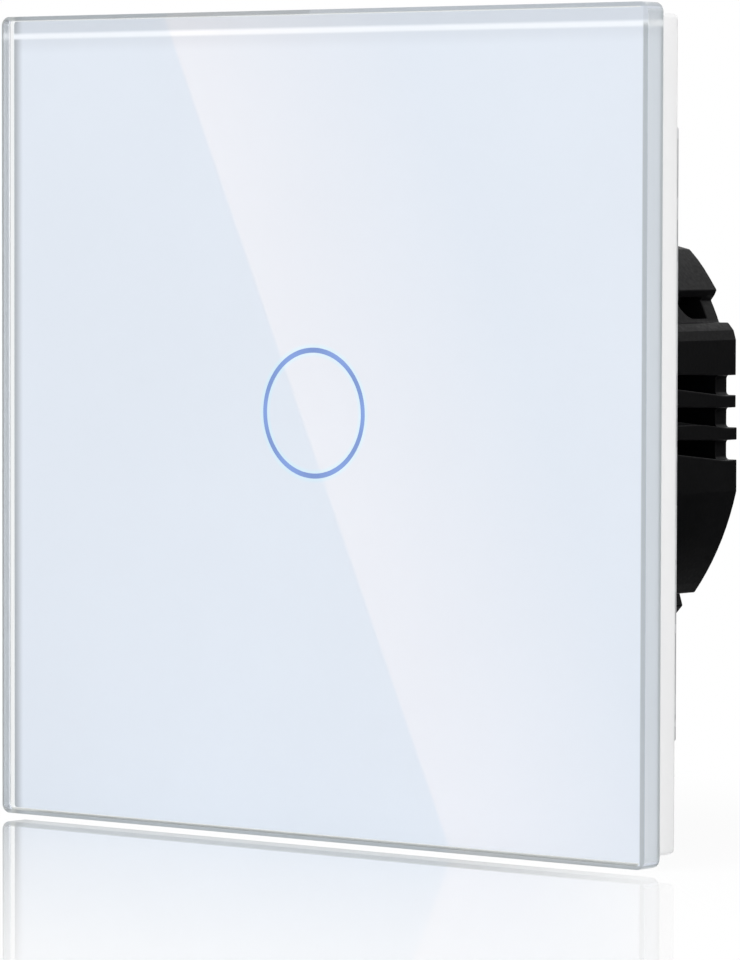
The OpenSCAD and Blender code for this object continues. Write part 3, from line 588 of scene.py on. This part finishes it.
def white_coat(c):
    """White coat behind the glass: an even spray with a faint drift, grey borders at the sides and a
    grey band along the top that are painted shade, a white line along the top that is a painted
    highlight, and the ring's pale blue glow painted on, falling off from its line."""
    t, shader, material = blank("white_coating")
    x, _, z = t.parts(t.here())
    g = grained(t, grain=1800.0, cloud=30.0)
    base = t.mix(g["Cloud"], shade_of(c.coat, 0.99), shade_of(c.coat, 1.005))

    half = GLASS_HIGH[0]
    above, right = (t.math("SUBTRACT", half, value) for value in (z, x))
    left = t.math("ADD", half, x)
    shade_band_end, highlight_line_end = (1.6 * MM, 2.0 * MM), (2.2 * MM, 2.55 * MM)
    shade_bands = (  # painted shade bands: distance from the edge, where the shade fades, its share and its tone
        (above, (2.4 * MM, 4.2 * MM), 0.9, shade_of(c.coat, 0.91)),
        (above, shade_band_end, 1.0, shade_of(c.coat, 0.85)),
        (left, (0.5 * MM, 1.9 * MM), 1.0, c.left),
        (right, (0.6 * MM, 1.5 * MM), 1.0, c.right),
    )
    for away, shade_fading, share, shade_band in shade_bands:
        base = t.mix(t.ranged(away, shade_fading, (share, 0.0), True), base, shade_band)
    # painted highlight: a white line along the top of the coat, below the grey band
    below, over = t.ranged(above, shade_band_end, RISE, True), t.ranged(above, highlight_line_end, FALL, True)
    base = t.mix(t.math("MULTIPLY", below, over), base, c.line)

    # painted glow: the ring's light on the coat beside it, as a less red base colour and an emission
    dx, dz = (t.math("SUBTRACT", value, middle) for value, middle in zip((x, z), RING_MIDDLE))
    far = t.math("SQRT", t.math("ADD", t.math("MULTIPLY", dx, dx), t.math("MULTIPLY", dz, dz)))
    off = t.math("ABSOLUTE", t.math("SUBTRACT", far, RING_RADIUS - settings().panel.ring_line / 2))
    glow = t.ranged(off, (0.25 * MM, 0.85 * MM), FALL, True)
    less_red = (c.coat[0] * 0.9, c.coat[1], c.coat[2])
    t.dress(
        shader,
        Base_Color=t.mix(glow, base, less_red),
        Emission_Color=t.mix(glow, BLACK, c.glow),
        Emission_Strength=1.0,
        Roughness=t.ranged(g["Grain"], MID_NOISE, (0.45, 0.6)),
        Specular_IOR_Level=0.0,
    )
    bumped(t, shader, g["Grain"], strength=0.05, distance=0.02 * MM)
    return material


def ring_light(c):
    """Lit ring: blue light that swells a little over each of the six lamps below it."""
    t, shader, material = blank("ring_light")
    x, _, z = t.parts(t.here())
    lamps = 6.0
    dx, dz = (t.math("SUBTRACT", value, middle) for value, middle in zip((x, z), RING_MIDDLE))
    swell = t.math("COSINE", t.math("MULTIPLY", t.math("ARCTAN2", dz, dx), lamps))
    lamp = t.ranged(swell, (-1.0, 1.0), RISE)
    t.dress(
        shader,
        Base_Color=t.mix(lamp, shade_of(c.ring, 0.1), shade_of(c.ring, 0.16)),
        Emission_Color=t.mix(lamp, shade_of(c.ring, 0.96), shade_of(c.ring, 1.06)),
        Emission_Strength=1.0,
        Roughness=t.ranged(t.noise(3000.0), MID_NOISE, (0.35, 0.5)),
        Specular_IOR_Level=0.2,
    )
    return material


def galvanised(c):
    """Galvanised sheet: zinc spangle cells of differing tone over rolling lines, and paler zinc along
    the edges that is wear and a painted highlight.
    """
    t, shader, material = blank("plate_steel")
    cells = t.add("TexVoronoi", {"Vector": t.here(), "Scale": 420.0}, feature="F1")
    cell = t.add("SeparateColor", {0: cells.outputs["Color"]}).outputs[0]
    line = lined(t, (60.0, 3000.0, 3000.0))
    base = t.mix(cell, shade_of(c.steel, 0.8), shade_of(c.steel, 1.12))
    base = t.mix(t.math("MULTIPLY", line, 0.3), base, shade_of(c.steel, 0.7))
    base = wear_and_sheen(t, base, c.zinc, reach=0.3 * MM, scale=800.0)
    t.dress(shader, Base_Color=base, Roughness=t.ranged(cell, RISE, (0.3, 0.48)), Metallic=0.35)
    bumped(t, shader, t.math("ADD", cell, line), strength=0.1, distance=0.04 * MM)
    return material


def lacquered_board(c):
    """Circuit board: square-cornered traces under green lacquer, bare tinned dots and glass weave."""
    t, shader, material = blank("board")
    here = t.add("Mapping", {"Vector": t.here(), "Scale": (1.0, 0.02, 1.0)}).outputs[0]
    cells, wall = (
        t.add("TexVoronoi", {"Vector": here, "Scale": 330.0}, feature=kind, distance="CHEBYCHEV")
        for kind in ("F1", "F2")
    )
    apart = t.math("SUBTRACT", wall.outputs["Distance"], cells.outputs["Distance"])
    trace = t.ranged(apart, (0.1, 0.16), FALL, True)
    dots = t.add("TexVoronoi", {"Vector": here, "Scale": 260.0}, feature="F1")
    dot = t.ranged(dots.outputs["Distance"], (0.13, 0.16), FALL, True)
    threads = {"Vector": t.here(), "Scale": 900.0, "Distortion": 1.0}
    weave = t.add("TexWave", threads).outputs["Fac"]
    base = t.mix(trace, c.board, shade_of(c.board, 1.9))
    base = t.mix(t.math("MULTIPLY", weave, 0.25), base, shade_of(c.board, 0.6))
    base = t.mix(dot, base, c.tin)
    t.dress(shader, Base_Color=base, Roughness=t.ranged(weave, RISE, (0.28, 0.4)), Metallic=dot)
    raised = t.math("ADD", t.math("MULTIPLY", trace, 0.6), dot)
    bumped(t, shader, raised, strength=0.4, distance=0.05 * MM)
    return material


def wound_wire(c):
    """Enamelled copper: gloss that drifts from turn to turn, and darker copper between the turns that
    is painted shade.
    """
    t, shader, material = blank("copper")
    line = lined(t, (80.0, 5000.0, 80.0))
    base, rough = t.mix(line, c.copper_groove_shade, c.copper), t.ranged(line, MID_NOISE, (0.2, 0.38))
    t.dress(shader, Base_Color=base, Roughness=rough, Metallic=1.0, Coat_Weight=0.5)
    bumped(t, shader, line, strength=0.2, distance=0.03 * MM)
    return material


SPECIAL = {
    "clear_glass": clear_glass,
    "white_coating": white_coat,
    "ring_light": ring_light,
    "plate_steel": galvanised,
    "board": lacquered_board,
    "copper": wound_wire,
}

MOULDED = {  # colour, gloss from and to, scales of grain and cloud, drift of tone, bump, colour of worn edges that is also a painted highlight
    "tape": ((0.72, 0.72, 0.7), (0.75, 0.92), 3800.0, 90.0, 0.05, 0.4),
    "white_plastic": (("frame", 1.0), (0.3, 0.42), 2200.0, 40.0, 0.012, 0.06, ("frame", 1.05)),
    "black_plastic": (("black", 1.0), (0.4, 0.56), 2400.0, 90.0, 0.15, 0.22, ("black", 2.4)),
    "cover_plastic": (("black", 1.2), (0.44, 0.6), 2000.0, 80.0, 0.15, 0.25, ("black", 2.6)),
    "guide_plastic": ((0.8, 0.86, 0.93), (0.2, 0.32), 1500.0, 50.0, 0.03, 0.05),
    "pad_foam": ((0.06, 0.06, 0.065), (0.8, 0.95), 3400.0, 200.0, 0.25, 0.7),
    "lamp": ((0.75, 0.82, 0.9), (0.08, 0.16), 2000.0, 300.0, 0.05, 0.05),
    "chip_resin": ((0.022, 0.022, 0.022), (0.5, 0.68), 3000.0, 150.0, 0.2, 0.3, (0.08, 0.08, 0.08)),
    "small_parts": ((0.36, 0.27, 0.18), (0.4, 0.6), 4000.0, 500.0, 0.2, 0.3, (0.6, 0.58, 0.55)),
    "ceramic_body": ((0.8, 0.78, 0.71), (0.12, 0.24), 1800.0, 200.0, 0.05, 0.06),
    "blue_coat": ((0.03, 0.09, 0.38), (0.14, 0.28), 900.0, 200.0, 0.12, 0.3),
    "grey_resin": ((0.3, 0.31, 0.33), (0.42, 0.6), 2400.0, 120.0, 0.08, 0.25, (0.42, 0.43, 0.45)),
    "can_sleeve": ((0.02, 0.026, 0.06), (0.16, 0.3), 1200.0, 120.0, 0.1, 0.12),
    "ferrite": ((0.045, 0.045, 0.05), (0.45, 0.7), 3200.0, 260.0, 0.3, 0.45, (0.14, 0.14, 0.15)),
    "coil_tape": ((0.66, 0.42, 0.03), (0.2, 0.34), 700.0, 160.0, 0.12, 0.3),
    "relay_plastic": (("relay", 1.0), (0.24, 0.38), 2200.0, 90.0, 0.08, 0.12, ("relay", 1.7)),
    "cream_plastic": ((0.74, 0.7, 0.58), (0.36, 0.5), 2200.0, 120.0, 0.05, 0.15),
    "terminal_plastic": (
        (0.03, 0.03, 0.033), (0.42, 0.58), 2400.0, 100.0, 0.15, 0.25, (0.09, 0.09, 0.095)
    ),
}

FIXED = {  # constants of the shader of moulded finishes
    "black_plastic": {"Specular_IOR_Level": 0.12},
    "guide_plastic": {"Subsurface_Weight": 0.3},
    "lamp": {"Coat_Weight": 0.5},
    "blue_coat": {"Coat_Weight": 0.4},
}

DRAWN = {  # colour, gloss from and to, colour of worn edges that is also a painted highlight, squeeze of the lines, bump
    "spring_steel": ((0.55, 0.56, 0.58), (0.2, 0.36), (0.8, 0.8, 0.8), (11000.0, 300.0, 11000.0), 0.06),
    "screw_steel": ((0.64, 0.63, 0.58), (0.2, 0.36), (0.85, 0.84, 0.8), (900.0, 3500.0, 900.0)),
    "pin_metal": ((0.78, 0.6, 0.25), (0.16, 0.3), (0.9, 0.8, 0.5)),
    "cap_metal": ((0.72, 0.72, 0.74), (0.18, 0.34), (0.85, 0.85, 0.86)),
    "soft_iron": ((0.5, 0.5, 0.51), (0.3, 0.48), (0.7, 0.7, 0.7)),
    "contact_metal": ((0.72, 0.45, 0.26), (0.18, 0.32), (0.85, 0.65, 0.45)),
    "terminal_brass": (("brass", 1.0), (0.18, 0.34), ("brass", 1.2)),
}


def finish(node):
    """The finish of a node's slot, made once."""
    slot = NODE_SLOT[node]
    made = bpy.data.materials.get(slot + "_finish")
    if made:
        return made
    colours = settings().colours
    if slot in MOULDED:
        return moulded(slot, colours, *MOULDED[slot], **FIXED.get(slot, {}))
    if slot in DRAWN:
        return drawn_metal(slot, colours, *DRAWN[slot])
    return SPECIAL[slot](colours)


# ---- pieces


class SWITCH_OT_glass(bpy.types.Operator):
    """Glass panel with ground, polished edges and round corners"""

    bl_idname = "switch.glass"
    bl_label = "Glass panel"

    def execute(self, context):
        p = settings().panel
        half, front, back = GLASS_HIGH[0], GLASS_LOW[1], GLASS_HIGH[1]
        c, d, r = p.chamfer, p.chamfer_deep, p.corner
        edge = eased(
            [
                (half - 2 * c, front, r - c),
                (half - c, front, r - c),
                (half, front + d, r),
                (half, back - d, r),
                (half - c, back, r - c),
                (half - 2 * c, back, r - c),
            ],
            [0, p.polish, p.polish, p.polish, p.polish, 0],
            steps=4,
        )
        basis = square_basis(side_shares(9), corner_steps=12)
        formed("glass", "glass_panel", [skin(carry(edge, basis), False)], finish("glass_panel"))
        return {"FINISHED"}


class SWITCH_OT_coat(bpy.types.Operator):
    """White coat behind the glass, with the slot that the ring light fills"""

    bl_idname = "switch.coat"
    bl_label = "White coat and ring light"

    def execute(self, context):
        p = settings().panel
        front, back = COAT_LOW[1] - p.contact, COAT_HIGH[1]
        corner, soft = 0.3 * MM, 0.02 * MM
        centre, outer = np.array(RING_MIDDLE), RING_RADIUS
        inner = outer - p.ring_line
        heart = inner * 0.5
        s, c = square_basis(side_shares(41), corner_steps=4)
        rim = (COAT_HIGH[0] - corner) * s + corner * c
        angle = np.arctan2(rim[:, 1] - centre[1], rim[:, 0] - centre[0])
        hole = centre + outer * np.c_[np.cos(angle), np.sin(angle)]
        share = np.array([0, 0.02, 0.3, 0.7, 0.99, 1.0])[:, None, None]  # from the hole to the rim
        flat = (1 - share) * hole + share * rim
        flat = np.concatenate([flat, flat[::-1]])
        depth = np.r_[np.full(len(share), front), np.full(len(share), back)]
        depth = np.broadcast_to(depth[:, None], flat.shape[:2])
        rings = np.stack([flat[..., 0], depth, flat[..., 1]], -1)
        disc = lathe([(heart, front), (inner, front), (inner, back), (heart, back)], centre, count=128)
        formed("coat", "back_print", [skin(rings, True), skin(disc, False)], finish("back_print"))
        line = eased([(inner, front), (outer, front), (outer, back), (inner, back)], soft, steps=2)
        line = lathe(line, centre, count=160)
        formed("ring", "ring_window", [skin(line, True)], finish("ring_window"))
        tape = frame["nodes"]["bonding_tape"].data
        tape.materials.clear()
        tape.materials.append(finish("bonding_tape"))
        return {"FINISHED"}


class SWITCH_OT_frame(bpy.types.Operator):
    """White frame behind the glass, with its prying notch and gripping blades"""

    bl_idname = "switch.frame"
    bl_label = "Panel frame"

    def execute(self, context):
        p = settings().panel
        half, front, back = FRAME_HIGH[0], FRAME_LOW[1], FRAME_HIGH[1]
        web, inside = front + p.frame_web, half - p.frame_wall
        inner_round, lip_round = 0.3 * MM, 0.25 * MM
        section = eased(
            [
                (p.opening, front, p.opening_corner),
                (half, front, p.frame_corner),
                (half, back, p.frame_corner),
                (inside, back, inner_round),
                (inside, web, inner_round),
                (p.opening, web, p.opening_corner),
            ],
            [lip_round, p.frame_round, p.frame_ease, inner_round, inner_round, lip_round],
            steps=4,
        )
        cut, wall = p.notch / half, 0.003  # end and side wall of the notch, as shares of the side
        shares = np.unique(np.r_[side_shares(13), -cut - wall, -cut, cut, cut + wall])
        rings = carry(section, square_basis(shares, corner_steps=8))
        rear = rings[..., 1] > back - 0.4 * p.notch_depth
        low = rings[..., 2] < -inside + 0.5 * MM
        within = np.abs(rings[..., 0]) < p.notch * 1.005
        rings[..., 1] -= np.where(rear & low & within, p.notch_depth, 0.0)
        formed("frame", "panel_frame", [skin(rings, True)], finish("panel_frame"))

        root, end, tip = web - 0.05 * MM, p.blade_reach, 0.25 * MM
        blade = [
            (0.8 * MM, root, 0.2 * MM),
            (0.8 * MM, end - tip, 0.2 * MM),
            (0.55 * MM, end, 0.15 * MM),
        ]
        across, along, longer = 36.1 * MM, 14 * MM, (0.0, 2.2 * MM)
        corners = square_basis([], corner_steps=4)
        spots = [(x, z) for x in (-across, across) for z in (-along, along)]
        skins = [skin(carry(blade, corners, spot, longer), False) for spot in spots]
        formed("gripping_blades", "panel_frame", skins, finish("panel_frame"), extra=True)
        return {"FINISHED"}


class EasedPieces:
    """Pieces that keep their CAD shape: each gets its finish, and edges rounded by the named size."""

    pieces = ()

    def execute(self, context):
        ease = settings().ease
        for node, size, *steps in self.pieces:
            eased_copy(node, getattr(ease, size), finish(node), *steps)
        return {"FINISHED"}


class SWITCH_OT_mounting(EasedPieces, bpy.types.Operator):
    """Steel plate, its spring clips and the cover screws"""

    bl_idname = "switch.mounting"
    bl_label = "Mounting plate"
    pieces = (("mounting_plate", "plate"), ("frame_clips", "metal"), ("cover_screws", "metal"))


class SWITCH_OT_housing(EasedPieces, bpy.types.Operator):
    """Round black housing and the cover on its front"""

    bl_idname = "switch.housing"
    bl_label = "Housing"
    pieces = (("rear_housing", "housing", 3), ("front_cover", "plate"))


class SWITCH_OT_sensor(EasedPieces, bpy.types.Operator):
    """Touch sensor: light guide, pad, board, lamps, chip and small parts"""

    bl_idname = "switch.sensor"
    bl_label = "Touch sensor"
    pieces = (
        ("light_guide", "plate"),
        ("touch_pad", "plate"),
        ("sensor_board", "small", 1),
        ("indicator_leds", "small"),
        ("touch_chip", "small"),
        ("sensor_parts", "small"),
        ("header_body", "small", 1),
        ("header_pins", "small", 1),
        ("header_socket", "small", 1),
    )


class SWITCH_OT_supply(EasedPieces, bpy.types.Operator):
    """Power board with its supply parts"""

    bl_idname = "switch.supply"
    bl_label = "Power supply"
    pieces = (
        ("power_board", "small", 1),
        ("board_screws", "metal"),
        ("supply_chip", "small"),
        ("power_parts", "small"),
        ("line_fuse", "small"),
        ("fuse_caps", "small"),
        ("varistor", "plate"),
        ("film_capacitor", "plate"),
        ("smoothing_capacitors", "metal"),
        ("bridge_rectifier", "small"),
        ("transformer_core", "plate"),
        ("transformer_bobbin", "small"),
        ("transformer_winding", "plate"),
    )


class SWITCH_OT_relay(EasedPieces, bpy.types.Operator):
    """Relay with its case, coil, armature and contacts"""

    bl_idname = "switch.relay"
    bl_label = "Relay"
    pieces = (
        ("relay_base", "small"),
        ("relay_case", "plate"),
        ("relay_yoke", "small", 1),
        ("relay_bobbin", "small"),
        ("relay_coil", "small", 1),
        ("relay_contacts", "small", 1),
        ("relay_armature", "small", 1),
        ("relay_spring", "small", 1),
    )


class SWITCH_OT_terminals(EasedPieces, bpy.types.Operator):
    """Terminal block with its bars, screws and clamping cages"""

    bl_idname = "switch.terminals"
    bl_label = "Terminals"
    pieces = (
        ("terminal_block", "plate"),
        ("terminal_bars", "metal"),
        *((f"terminal_{kind}_{i}", "metal") for kind in ("screw", "cage") for i in (1, 2, 3)),
    )


# ---- stage


def camera_axes(s):
    """Right, up and back of a camera turned by yaw about Z, raised by pitch and rolled."""
    a, e, o = s.yaw, s.pitch, s.roll
    back = np.array([math.sin(a) * math.cos(e), -math.cos(a) * math.cos(e), math.sin(e)])
    right = np.array([math.cos(a), math.sin(a), 0.0])
    up = np.cross(back, right)
    turned = right * math.cos(o) + up * math.sin(o)
    return turned, up * math.cos(o) - right * math.sin(o), back


def square(half):
    """Corners of a square about the origin."""
    return (-half, -half), (half, -half), (half, half), (-half, half)


def flat_sheet(name, corners, material):
    mesh = bpy.data.meshes.new(name)
    mesh.from_pydata([tuple(p) for p in corners], [], [tuple(range(len(corners)))])
    mesh.materials.append(material)
    obj = bpy.data.objects.new(name, mesh)
    bpy.context.scene.collection.objects.link(obj)
    return obj


def unseen_by(obj, *rays):
    for ray in rays:
        setattr(obj, "visible_" + ray, False)


def hang(lamp, place):
    """A lamp at its place, aimed at the middle of the switch."""
    obj = bpy.data.objects.new(lamp.name, lamp)
    obj.location = place
    obj.rotation_mode = "QUATERNION"
    obj.rotation_quaternion = (-Vector(place)).to_track_quat("-Z", "Y")
    bpy.context.scene.collection.objects.link(obj)
    return obj


def floor_finish(s):
    """White polished floor: white as it stands, a soft shadow under the object, and a mirror image that
    fades with the distance in front of the panel and towards the right."""
    t, shader, material = blank("floor")
    material.node_tree.nodes.remove(shader)
    mirror_long, mirror_most, mirror_least = 0.16, 0.82, 0.02
    mirror_ends = (0.008, 0.0395)
    shadow_ends, shadow_most = (0.045, 0.1), 0.09
    floor_white = (0.96, 0.96, 0.96)

    x, y, _ = t.parts(t.here())
    right, _, back = (axis.tolist() for axis in camera_axes(s))
    ahead = t.math("DIVIDE", t.math("SUBTRACT", GLASS_LOW[1], y), -back[1])
    aside = t.math("ADD", t.math("MULTIPLY", x, right[0]), t.math("MULTIPLY", y, right[1]))
    near = t.ranged(ahead, (0.0, mirror_long), (mirror_most, 0.0))
    left = t.ranged(aside, mirror_ends, (1.0, mirror_least), True)
    share = t.math("MULTIPLY", near, left)
    lit = t.add("BsdfDiffuse", {"Color": rgba(floor_white)})
    white = t.add("Emission", {"Color": rgba(WHITE), "Strength": 1.0})
    mirror = t.add("BsdfGlossy", {"Color": rgba(WHITE), "Roughness": 0.006})
    away = t.add("VectorMath", {0: t.here()}, operation="LENGTH").outputs["Value"]
    shaded = t.ranged(away, shadow_ends, (shadow_most, 0.0), True)
    shown = t.add("MixShader", {0: shaded, 1: white.outputs[0], 2: lit.outputs[0]})
    shown = t.add("MixShader", {0: share, 1: shown.outputs[0], 2: mirror.outputs[0]})
    ray = t.add("LightPath").outputs
    seen = t.math("MAXIMUM", ray["Is Camera Ray"], ray["Is Transmission Ray"])
    both = t.add("MixShader", {0: seen, 1: lit.outputs[0], 2: shown.outputs[0]})
    t.show(both)
    return material


def slide_finish(lamp, top, foot):
    """A slide close to a lamp, drawn as it falls on the coat: dark left of the line from top to foot,
    clear along it and darker again over the light's width to its right. A point Q of the slide falls on
    lamp + (Q - lamp) / share."""
    t, shader, material = blank("slide")
    material.node_tree.nodes.remove(shader)
    moved = t.add("VectorMath", {0: t.here(), 1: lamp}, operation="SUBTRACT").outputs[0]
    moved = t.add("VectorMath", {0: moved, "Scale": 1 / SLIDE_SHARE}, operation="SCALE").outputs[0]
    fallen = t.add("VectorMath", {0: moved, 1: lamp}, operation="ADD").outputs[0]
    x, _, z = t.parts(fallen)
    slope = (top[0] - foot[0]) / (top[2] - foot[2])
    line = t.math("ADD", t.math("MULTIPLY", z, slope), top[0] - slope * top[2])
    off = t.math("SUBTRACT", x, line)
    clear = t.ranged(off, (0.0, WINDOW_WIDE), FALL)
    clear = t.math("MULTIPLY", clear, t.math("GREATER_THAN", off, 0.0))
    inside = t.math("MAXIMUM", t.math("ABSOLUTE", x), t.math("ABSOLUTE", z))
    clear = t.math("MULTIPLY", clear, t.math("LESS_THAN", inside, COAT_HIGH[0]))
    pane = t.add("BsdfTransparent", {"Color": t.mix(clear, BLACK, WHITE)})
    t.show(pane)
    return material


FLOOR_REACH = 6.0
ROOM = (0.47, 0.47, 0.48)  # level of the white room where it is not seen
LAMPS = (  # name, place, width and height, power, whether gloss shows it
    ("top_lamp", (0.1, -0.25, 0.6), (0.7, 0.5), 1.7, True),
    ("right_lamp", (0.7, -0.1, 0.22), (0.5, 0.5), 1.6, True),
    ("front_lamp", (-0.2, -0.75, 0.25), (0.6, 0.6), 1.5, False),
)
WINDOW_LINE = (165.8, 20.7), (446.8, 840.0)  # pixels at the top and the foot of the window light
WINDOW_WIDE = 0.031  # over which the window light fades to the right
WINDOW_PLACE = (-0.45, -1.35, 0.75)
WINDOW_COLOUR = (1.0, 0.5, 0.2)
SLIDE_SHARE = 0.06  # how far the slide hangs from the lamp towards the coat
SLIDE_HALF, SPOT_HALF = 0.07, 0.062  # half widths of slide and lamp light, as they fall on the coat


class SWITCH_OT_stage(bpy.types.Operator):
    """Camera, white floor and background, soft lamps and the window light on the glass"""

    bl_idname = "switch.stage"
    bl_label = "Stage"

    def execute(self, context):
        s = settings().stage
        scene = context.scene
        scene.view_settings.view_transform = "Standard"
        axes = camera_axes(s)
        data = bpy.data.cameras.new("camera")
        data.sensor_width, data.lens = SENSOR, s.lens
        data.clip_start, data.clip_end = 0.05, 20.0
        camera = bpy.data.objects.new("camera", data)
        turn = Matrix(np.column_stack(axes).tolist()).to_4x4()
        camera.matrix_world = Matrix.Translation(s.eye) @ turn
        scene.collection.objects.link(camera)
        scene.camera = camera

        corners = [(x, y, s.floor) for x, y in square(FLOOR_REACH)]
        unseen_by(flat_sheet("floor", corners, floor_finish(s)), "glossy")
        self.window_light(s, *axes)
        for name, place, size, power, glossy in LAMPS:
            lamp = bpy.data.lights.new(name, "AREA")
            lamp.shape, lamp.size, lamp.size_y = "RECTANGLE", *size
            lamp.energy = power
            hang(lamp, place).visible_glossy = glossy
        self.dark_flag()
        self.white_world(scene)
        return {"FINISHED"}

    def window_light(self, s, right, up, back):
        """Window light on the panel: a point lamp shines through a slide onto the coat. Its line is
        given by two pixels of the picture, carried through the glass by the law of refraction."""
        eye, focal = np.array(s.eye), s.lens / SENSOR * PICTURE_HIGH

        def on_coat(px, py):
            ray = right * (px - PICTURE_WIDE / 2) - up * (py - PICTURE_HIGH / 2) - back * focal
            ray = ray / np.linalg.norm(ray)
            hit = eye + ray * (GLASS_LOW[1] - eye[1]) / ray[1]
            bent = ray / GLASS_INDEX
            bent[1] = math.sqrt(1 - bent[0] ** 2 - bent[2] ** 2)
            return hit + bent * (COAT_LOW[1] - hit[1]) / bent[1]

        top, foot = (on_coat(*pixel) for pixel in WINDOW_LINE)
        place = np.array(WINDOW_PLACE)
        spots = [np.array((x, COAT_LOW[1], z)) for x, z in square(SLIDE_HALF)]
        corners = [place + (spot - place) * SLIDE_SHARE for spot in spots]
        slide = flat_sheet("window_slide", corners, slide_finish(WINDOW_PLACE, top, foot))
        unseen_by(slide, "camera", "diffuse", "glossy", "transmission", "volume_scatter")
        data = bpy.data.lights.new("window_lamp", "SPOT")
        data.energy, data.color = s.window, WINDOW_COLOUR
        data.shadow_soft_size, data.spot_blend = 0.00001, 0.0
        data.spot_size = 2 * math.atan(SPOT_HALF / np.linalg.norm(place))
        hang(data, WINDOW_PLACE)

    def dark_flag(self):
        """A black card at the right behind the object, which keeps the gloss of black plastic dark."""
        t, shader, material = blank("flag")
        dark, rough = rgba((0.002, 0.002, 0.002)), t.ranged(t.noise(4.0), MID_NOISE, (0.9, 1.0))
        t.dress(shader, Base_Color=dark, Roughness=rough, Specular_IOR_Level=0.0)
        near, far, low, high = (0.75, 0.1), (-0.1, 0.85), -0.7, 0.13
        corners = [(*near, low), (*far, low), (*far, high), (*near, high)]
        flag = flat_sheet("dark_flag", corners, material)
        unseen_by(flag, "camera", "diffuse", "shadow", "transmission", "volume_scatter")

    def white_world(self, scene):
        """White where the camera, gloss and glass see it, and a plain soft level for the rest."""
        world = bpy.data.worlds.new("white_room")
        scene.world = world
        world.use_nodes = True
        t = Tree(world.node_tree)
        ray = t.add("LightPath").outputs
        seen = t.math("MAXIMUM", ray["Is Glossy Ray"], ray["Is Transmission Ray"])
        seen = t.math("MAXIMUM", ray["Is Camera Ray"], seen)
        ground = world.node_tree.nodes["Background"]
        t.dress(ground, Color=t.mix(seen, ROOM, WHITE), Strength=1.0)


OPERATORS = (
    SWITCH_OT_glass,
    SWITCH_OT_coat,
    SWITCH_OT_frame,
    SWITCH_OT_mounting,
    SWITCH_OT_housing,
    SWITCH_OT_sensor,
    SWITCH_OT_supply,
    SWITCH_OT_relay,
    SWITCH_OT_terminals,
    SWITCH_OT_stage,
)


class SWITCH_PT_pieces(bpy.types.Panel):
    """Lists the switch's pieces and its stage"""

    bl_idname = "SWITCH_PT_pieces"
    bl_label = "Touch light switch"
    bl_space_type = "VIEW_3D"
    bl_region_type = "UI"
    bl_category = "Switch"

    def draw(self, context):
        for operator in OPERATORS:
            self.layout.operator(operator.bl_idname)


CLASSES = (PanelSizes, EaseSizes, Colours, Stage, SwitchSettings, *OPERATORS, SWITCH_PT_pieces)


def register():
    for cls in CLASSES:
        bpy.utils.register_class(cls)
    bpy.types.Scene.switch_settings = PointerProperty(type=SwitchSettings)


def unregister():
    del bpy.types.Scene.switch_settings
    for cls in reversed(CLASSES):
        bpy.utils.unregister_class(cls)


def main():
    register()
    for operator in OPERATORS:
        family, name = operator.bl_idname.split(".")
        getattr(getattr(bpy.ops, family), name)()


if __name__ == "__main__":
    main()
